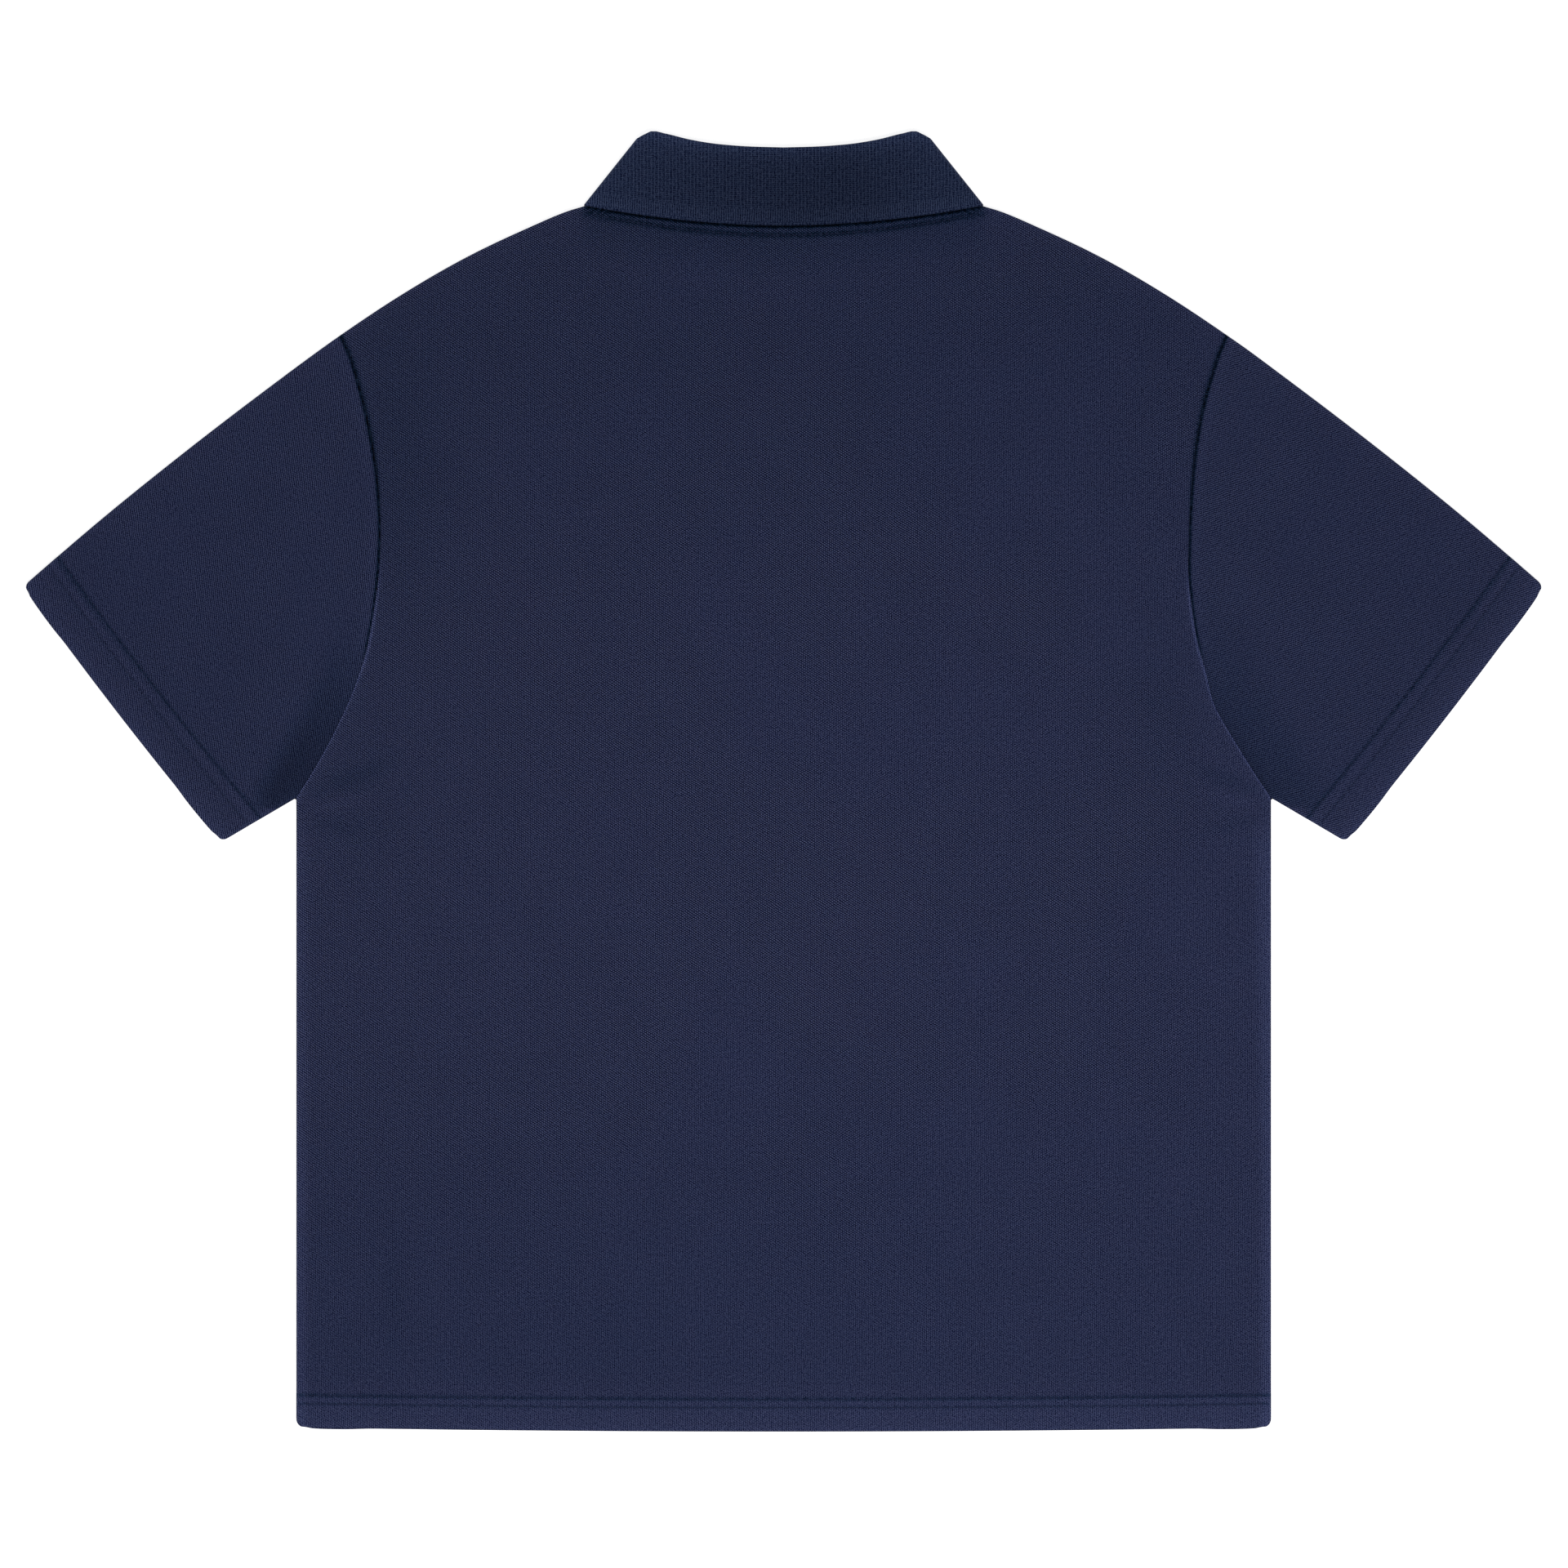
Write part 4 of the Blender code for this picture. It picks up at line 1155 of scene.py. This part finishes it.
def shaded(g, colour, spread, size):
    """The colour, lightened and darkened by the painted light and shade of its seams and the painted broad
    shade, and by soft random patches. The painted dark loses most red.
    """
    values = []
    for kind in ("line_shading", "shade"):
        made = g.node("ShaderNodeAttribute")
        made.attribute_name = kind
        values.append(made.outputs["Fac"])
    line_shading, shade = values
    dip = g.math("MINIMUM", g.math("MAXIMUM", g.math("SUBTRACT", 1.0, line_shading), 0.0), 0.35)
    pucker = g.times(dip, g.noise(g.grain, 2.2, 1.0))
    seams = g.math("MAXIMUM", g.sum((pucker, -PUCKER), start=line_shading), 0.08)
    patches = g.sum((g.noise(g.grain, size, 3.0), spread), start=1.0)
    light = g.times(seams, patches, shade)
    dim = g.math("MINIMUM", g.math("MAXIMUM", shade, 0.8), 1.0)
    dark = g.times(g.math("MINIMUM", seams, 1.0), dim)
    red = g.sum((g.noise(g.grain, 10.0, 2.0), 0.12), start=1.0)
    red = g.times(red, g.times(light, g.math("POWER", dark, 0.6)))
    blue = g.times(light, g.math("POWER", dark, -0.1))
    made = g.node("ShaderNodeVectorMath")
    made.operation = "MULTIPLY"
    g.feed(made.inputs[0], colour)
    g.feed(made.inputs[1], g.node("ShaderNodeCombineXYZ", X=red, Y=light, Z=blue).outputs[0])
    return made.outputs[0]


def grain_of(g, drift):
    """The cloth's own coordinates in metres, with threads that wander by this many millimetres."""
    uv = g.node("ShaderNodeUVMap")
    uv.uv_map = "grain"
    g.grain = uv.outputs[0]
    at = g.node("ShaderNodeSeparateXYZ", Vector=g.grain)
    places = []
    for axis, size in ((0, 9.0), (1, 7.0)):
        place = g.math("MULTIPLY_ADD", g.noise(g.grain, size, 1.0), drift * MM)
        g.feed(place.node.inputs[2], at.outputs[axis])
        places.append(place)
    return places


def pique(name, slant, counter_slant, wale, by_place):
    """Pique: pinholes in two slanting sets, and wales, each with its strength. by_place lets the sets
    fade in places."""
    g = Graph(name)
    u, v = grain_of(g, 1.2)
    turn = 2 * math.pi / MM
    sets = []
    for hand, strength in ((1.0, slant), (-1.0, counter_slant)):
        waves = g.math("COSINE", g.sum((u, turn / PINHOLES_ACROSS), (v, hand * turn / PINHOLES_ALONG)))
        if by_place:
            middle = g.math("ABSOLUTE", g.math("SUBTRACT", u, 0.05))
            centre = g.sum((u, -0.9)) if hand > 0 else g.sum((middle, -1.1), start=0.12)
            place = g.sum((g.noise(g.grain, 130.0, 1.0), 1.0), start=centre)
            share = g.times(g.span(place, -0.22, 0.02, 0.35), g.span(v, -0.33, -0.2, 0.3))
        else:
            share = g.span(g.noise(g.grain, 60.0, 1.0), -0.22, 0.02, 0.6)
        sets.append((g.times(waves, share), strength))
    wales = g.wave(u, WALE_PITCH)
    fibre = g.noise(g.grain, 0.65, 1.5)
    yarn = g.noise(g.grain, 1.9, 1.0)
    level = g.sum(*sets, (wales, wale), (fibre, 118.0), (yarn, 24.0))
    colour = g.ramp(level, PIQUE_MIDDLE)
    height = g.sum((level, 0.012), (fibre, 0.4))
    return g.finish(shaded(g, colour, 0.16, 30.0), height, 0.14, 0.9, 0.06)


def flat_knit():
    """The collar's flat knit: fine wales and courses, and stronger ribs in a band at its edge."""
    g = Graph("navy_flat_knit")
    u, v = grain_of(g, 0.8)
    fibre = g.noise(g.grain, 0.7, 1.0)
    yarn = g.noise(g.grain, 2.2, 1.0)
    wales = ((g.wave(u, KNIT_WALE_PITCH), 8.0), (g.wave(u, 2 * KNIT_WALE_PITCH), 9.0))
    plain = g.sum(*wales, (g.wave(v, KNIT_COURSE_PITCH), 8.0))
    ribs = g.sum((g.wave(u, 1.35), 16.0))
    band = g.times(g.math("SUBTRACT", 1.0, g.span(v, 8.4 * MM, 9.4 * MM)), g.span(v, 1.6 * MM, 2.2 * MM))
    knit = g.math("ADD", g.times(ribs, band), g.times(plain, g.math("SUBTRACT", 1.0, band)))
    level = g.sum((knit, 1.0), (fibre, 90.0), (yarn, 30.0), (band, 2.0))
    colour = g.ramp(level, KNIT_MIDDLE)
    height = g.sum((knit, 0.05), (fibre, 0.6))
    return g.finish(shaded(g, colour, 0.14, 24.0), height, 0.14, 0.9, 0.08)


def clouded(g, size, detail, low, high):
    """A colour that goes from low to high in clouds of this many millimetres, and the clouds."""
    clouds = g.noise(g.node("ShaderNodeTexCoord").outputs["Object"], size, detail)
    return g.tinted(g.math("ADD", clouds, 0.5), low, high), clouds


def plastic():
    """A button's satin plastic, with faint clouds in its colour."""
    g = Graph("navy_button")
    colour, clouds = clouded(g, 2.5, 3.0, (0.010, 0.012, 0.028), (0.021, 0.024, 0.052))
    bump = g.node("ShaderNodeBump", Strength=0.2, Distance=0.02 * MM, Height=clouds)
    g.surface(Base_Color=colour, Normal=bump.outputs[0], Roughness=0.3)
    return g.material


def thread():
    """Sewing thread, twisted along each stitch."""
    g = Graph("navy_thread")
    colour, twist = clouded(g, 0.3, 2.0, (0.010, 0.012, 0.034), (0.028, 0.033, 0.078))
    return g.finish(colour, twist, 0.05, 0.7, 0.1)


# ---- Stitches ----


def capsule():
    """Points and triangles of one stitch, lying along x, one unit long and wide."""
    work = bmesh.new()
    bmesh.ops.create_uvsphere(work, u_segments=6, v_segments=5, radius=0.5)
    bmesh.ops.triangulate(work, faces=work.faces)
    points = np.array([vert.co[:] for vert in work.verts])[:, [2, 0, 1]]
    faces = np.array([[vert.index for vert in face.verts] for face in work.faces])
    work.free()
    return points, faces


def threads(name, laid):
    """Stitches as one mesh, each from its start to its end on cloth that faces up (1) or down (-1)."""
    points, faces = capsule()
    places, triangles = [], []
    for start, end, facing in laid:
        length = np.linalg.norm(end - start)
        along = (end - start) / length
        across = np.cross([0.0, 0.0, facing], along)
        across /= np.linalg.norm(across)
        up = np.cross(along, across)
        local = points * (length, STITCH_WIDTH, STITCH_WIDTH * 0.8)
        triangles.append(faces + len(points) * len(places))
        places.append(as_photographed((start + end) / 2 + local @ np.array([along, across, up])))
    mesh = bpy.data.meshes.new(name)
    mesh.from_pydata((np.concatenate(places) * MM).tolist(), [], np.concatenate(triangles).tolist())
    mesh.shade_smooth()
    return linked(name, mesh)


def stitches(name, runs):
    """Stitches along runs of points, each with the side that its cloth faces, 1 up or -1 down."""
    laid = []
    for run, facing in runs:
        length = np.concatenate([[0.0], np.cumsum(step_lengths(run))])
        count = int((length[-1] - 1.0) / STITCH_PITCH)
        margin = (length[-1] - count * STITCH_PITCH) / 2
        for index in range(count):
            middle = margin + (index + 0.5) * STITCH_PITCH
            ends = np.array([middle - STITCH_LENGTH / 2, middle + STITCH_LENGTH / 2])
            start, end = np.stack([np.interp(ends, length, run[:, k]) for k in range(3)], axis=-1)
            laid.append((start, end, facing))
    return threads(name, laid)


def both_sides(x, y, lower, upper):
    """One run on the upper layer and one under the lower one."""
    under = np.maximum(lower + 0.1, LOWEST_STITCH)
    return [(points_at(x, y, upper + STITCH_LIFT), 1), (points_at(x, y, under), -1)]


def body_hem_runs():
    x = np.linspace(-CHEST_WIDTH / 2 + 3.0, CHEST_WIDTH / 2 - 3.0, 240)
    runs = []
    for row in HEM_ROWS:
        y = hem(x) + row
        runs += both_sides(x, y, *back_levels(x, y))
    return runs


def cuff_runs(table, left):
    runs = []
    for row in CUFF_ROWS:
        around = np.linspace(0.015, 0.985, 120)
        plan = sleeve_plan(around, 1 - row / sleeve_length(around))
        x, y = plan[..., 0], plan[..., 1]
        for run, facing in both_sides(x, y, *sleeve_levels(x, y, table)):
            runs.append((mirrored(run) if left else run, facing))
    return runs


def neck_runs():
    x = np.linspace(-NECK_ROW_X, NECK_ROW_X, 200)
    y = neck_row(x)
    return [(points_at(x, y, back_levels(x, y)[1] + 0.05), 1)]


def placket_runs():
    side = PLACKET_HALF_WIDTH - PLACKET_ROW_INSET
    low = PLACKET_END_SIDE_Y + PLACKET_END_GAP + PLACKET_ROW_INSET
    up, across = np.linspace(low, FRONT_NECK_Y - 2.0, 60), np.linspace(-side, side, 20)
    lines = [(np.full_like(up, x), up) for x in (-side, side)]
    lines += [(across, np.full_like(across, row)) for row in (low, low + 24.0)]
    return [(points_at(x, y, levels(x, y)[0] + 0.12), -1) for x, y in lines]


# ---- Buttons ----

BUTTON_PROFILE = (
    # radius, depth below the outer face
    (0.0, 0.55),
    (3.3, 0.55),
    (3.75, 0.4),
    (4.1, 0.08),
    (4.6, 0.0),
    (5.2, 0.12),
    (5.6, 0.5),
    (5.75, 1.0),
    (5.6, 1.5),
    (5.1, 1.9),
    (4.4, 2.0),
    (0.0, 2.0),
)
THREAD_HOLE_RADIUS = 0.9
THREAD_HOLE_RING = 1.7
BUTTON_THREAD_HEIGHT = 0.35


def turned(name, profile, segments):
    """A closed solid of revolution about Z, from rows of radius and height."""
    work = bmesh.new()
    verts = [work.verts.new((radius * MM, 0.0, -depth * MM)) for radius, depth in profile]
    edges = [work.edges.new(pair) for pair in zip(verts, verts[1:])]
    geometry = verts + edges
    spin = 2 * math.pi
    bmesh.ops.spin(work, geom=geometry, axis=(0, 0, 1), cent=(0, 0, 0), steps=segments, angle=spin)
    bmesh.ops.remove_doubles(work, verts=work.verts, dist=1e-6)
    bmesh.ops.recalc_face_normals(work, faces=work.faces)
    mesh = bpy.data.meshes.new(name)
    work.to_mesh(mesh)
    work.free()
    return linked(name, mesh)


def button(index):
    """A four-hole button whose outer face looks down."""
    y = TOP_BUTTON_Y - index * BUTTON_SPACING
    piece = turned(f"button_{index + 1}_disc", BUTTON_PROFILE, 48)
    piece.data.transform(((1, 0, 0, 0), (0, -1, 0, 0), (0, 0, -1, 0), (0, 0, 0, 1)))
    cutters = []
    for hole in range(4):
        angle = 2 * math.pi * (hole + 0.5) / 4
        x, up = THREAD_HOLE_RING * math.cos(angle), THREAD_HOLE_RING * math.sin(angle)
        bpy.ops.mesh.primitive_cylinder_add(
            vertices=20, radius=THREAD_HOLE_RADIUS * MM, depth=6 * MM, location=(x * MM, up * MM, 0)
        )
        cutter = bpy.context.object
        cutters.append(cutter)
        cut = piece.modifiers.new(f"hole_{hole}", "BOOLEAN")
        cut.object = cutter
        cut.operation = "DIFFERENCE"
    bpy.context.view_layer.update()
    graph = bpy.context.evaluated_depsgraph_get()
    mesh = bpy.data.meshes.new_from_object(piece.evaluated_get(graph))
    piece.modifiers.clear()
    piece.data = mesh
    for cutter in cutters:
        bpy.data.objects.remove(cutter)
    piece.location.y = y * MM
    mesh.shade_smooth()
    mesh.set_sharp_from_angle(angle=math.radians(40))
    return piece


def button_threads():
    """Two lines of thread on each button, from hole to hole."""
    side = THREAD_HOLE_RING * math.cos(math.pi / 4)
    reach = side + THREAD_HOLE_RADIUS * 0.7
    laid = []
    for index in range(BUTTON_COUNT):
        y = TOP_BUTTON_Y - index * BUTTON_SPACING
        for x in (-side, side):
            ends = [np.array([x, y + step, BUTTON_THREAD_HEIGHT]) for step in (-reach, reach)]
            laid.append((*ends, -1))
    return threads("button_threads", laid)


# ---- The cuts: flat width, length and area of each piece, in the plan ----


def plan_area(outline):
    """The area inside a closed run of places."""
    x, y = np.array(outline, float).T
    return abs(x @ np.roll(y, -1) - y @ np.roll(x, -1)) / 2


def slot_end():
    """The y where the placket's slot ends, on the centre line."""
    plan = panel_plan(front_neck)
    return float(plan[slot_row(), plan.shape[1] // 2, 1])


def panel_cut(neck, slot_width):
    low_x = np.linspace(0.0, CHEST_WIDTH / 2, 60)
    side_y = np.linspace(float(hem(CHEST_WIDTH / 2)), SHOULDER_TIP[1], 300)
    top_x = np.linspace(SHOULDER_TIP[0], 0.0, 300)
    top_y = np.where(top_x < NECK_POINT[0], neck(top_x), shoulder(top_x))
    half = [*zip(low_x, hem(low_x)), *zip(half_width(side_y), side_y), *zip(top_x, top_y)]
    slot = slot_width * (FRONT_NECK_Y - slot_end())
    return CHEST_WIDTH, NECK_POINT[1] - HEM_CENTRE_Y, 2 * plan_area(half) - slot


def sleeve_cut():
    """The sleeve opened out about its top fold, so its width is all round."""
    share = np.linspace(0.0, 1.0, 60)
    back = share[::-1]
    sides = (sleeve_plan(share, 0.0), sleeve_plan(1.0, share), sleeve_plan(back, 1.0), sleeve_plan(0.0, back))
    outline = np.concatenate(sides) - SHOULDER_TIP
    fold = np.subtract(CUFF_HIGH, SHOULDER_TIP) / math.dist(CUFF_HIGH, SHOULDER_TIP)
    across = outline @ np.array([fold[1], -fold[0]])
    return 2 * across.max(), np.ptp(outline @ fold), 2 * plan_area(outline)


def collar_cut():
    """The strip's longest and widest place, and the area of its stand, its fall and the roll between them."""
    half = collar_half()
    longest = 2 * (step_lengths(half).sum(axis=0) + half[0, :, 0]).max()
    widest = step_lengths(half, axis=1).sum(axis=1).max()
    shares, area = np.linspace(0.0, 1.0, 60), 0.0
    for front in (False, True):
        for low, high in ((seam_line, stand_roll), (fall_edge, fall_roll)):
            outline = [low(front, share) for share in shares] + [high(front, share) for share in shares[::-1]]
            area += 2 * plan_area(outline)
        line = np.array([fall_roll(front, share) for share in shares])
        area += 2 * step_lengths(line).sum() * math.pi * FALL_ROLL_RADIUS
    return longest, widest, area


def strip_cut(half):
    width, length = 2 * half, float(front_neck(half)) - slot_end() - PLACKET_END_GAP
    return width, length, width * length


# ---- The shirt ----


def dress(piece, finish, slot, *nodes):
    piece.data.materials.clear()
    piece.data.materials.append(finish)
    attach(piece, "root")
    if nodes:
        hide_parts(*nodes)
    return piece


cloth_finish = pique("navy_pique", 30.0, 18.0, 17.0, True)
sleeve_finish = pique("navy_pique_sleeve", 26.0, 9.0, 5.0, False)
knit_finish = flat_knit()
button_finish, thread_finish = plastic(), thread()

back = dress(back_panel(), cloth_finish, "pique", "back_panel")
front = dress(front_panel(), cloth_finish, "pique", "front_panel")
left_sleeve = dress(sleeve("left", LEFT_SLEEVE_CREASES, True), sleeve_finish, "pique", "sleeve_left")
right_sleeve = dress(sleeve("right", RIGHT_SLEEVE_CREASES, False), sleeve_finish, "pique", "sleeve_right")
knit_collar = dress(collar(), knit_finish, "knit", "collar")
over = dress(strip("placket_over_cloth", PLACKET_HALF_WIDTH, 0.0), cloth_finish, "pique", "placket_over")
under = strip("placket_under_cloth", UNDER_HALF_WIDTH, WALL + GAP)
under = dress(under, cloth_finish, "pique", "placket_under")
for index in range(BUTTON_COUNT):
    dress(button(index), button_finish, "button", f"button_{index + 1}")
dress(button_threads(), thread_finish, "pique")

hem_stitches = dress(stitches("hem_stitches", body_hem_runs()), thread_finish, "pique")
left_stitches = stitches("sleeve_left_stitches", cuff_runs(LEFT_SLEEVE_CREASES, True))
left_stitches = dress(left_stitches, thread_finish, "pique")
right_stitches = stitches("sleeve_right_stitches", cuff_runs(RIGHT_SLEEVE_CREASES, False))
right_stitches = dress(right_stitches, thread_finish, "pique")
neck_stitches = dress(stitches("neck_stitches", neck_runs()), thread_finish, "pique")
placket_stitches = dress(stitches("placket_stitches", placket_runs()), thread_finish, "pique")

panel_cut(front_neck, 2 * PLACKET_SLOT_X)
panel_cut(back_neck, 0.0)
sleeve_cut()
sleeve_cut()
collar_cut()
strip_cut(PLACKET_HALF_WIDTH)
strip_cut(UNDER_HALF_WIDTH)


# ---- Floor, light and camera ----


def floor():
    bpy.ops.mesh.primitive_plane_add(size=8.0, location=(0.0, 0.0, -0.0004))
    made = bpy.context.object
    made.name = "floor"
    g = Graph("pale_floor")
    g.surface(Base_Color=(0.9, 0.9, 0.9, 1.0), Roughness=0.9, Specular_IOR_Level=0.1)
    g.surface(Emission_Color=(1.0, 1.0, 1.0, 1.0), Emission_Strength=0.6)
    made.data.materials.append(g.material)


def softbox(name, place, target, size, power):
    data = bpy.data.lights.new(name, "AREA")
    data.shape = "DISK"
    data.size = size
    data.energy = power
    made = linked(name, data)
    made.location = place
    direction = made.location - Vector(target)
    made.rotation_euler = direction.to_track_quat("Z", "Y").to_euler()


def camera():
    data = bpy.data.cameras.new("camera")
    data.lens = LENS
    data.sensor_width = SENSOR
    data.clip_end = 20.0
    made = linked("camera", data)
    height = CAMERA_DISTANCE + FLAT_HEIGHT
    made.location = (FRAME_CENTRE[0] * MM, FRAME_CENTRE[1] * MM, height * MM)
    bpy.context.scene.camera = made


def world():
    made = bpy.data.worlds.new("studio")
    bpy.context.scene.world = made
    made.use_nodes = True
    made.node_tree.nodes["Background"].inputs[0].default_value = (1.0, 1.0, 1.0, 1.0)
    made.node_tree.nodes["Background"].inputs[1].default_value = 0.26


floor()
softbox("key", (0.15, -0.45, 1.3), (0.1, -0.35, 0.0), 0.8, 11.5)
softbox("back", (-0.5, 1.6, 1.5), (0.0, 0.1, 0.0), 0.8, 10.0)
camera()
world()
bpy.context.scene.view_settings.view_transform = "Standard"
bpy.context.scene.view_settings.look = "None"
bpy.context.scene.cycles.denoising_prefilter = "NONE"  # the weave is finer than a pixel, and it stays
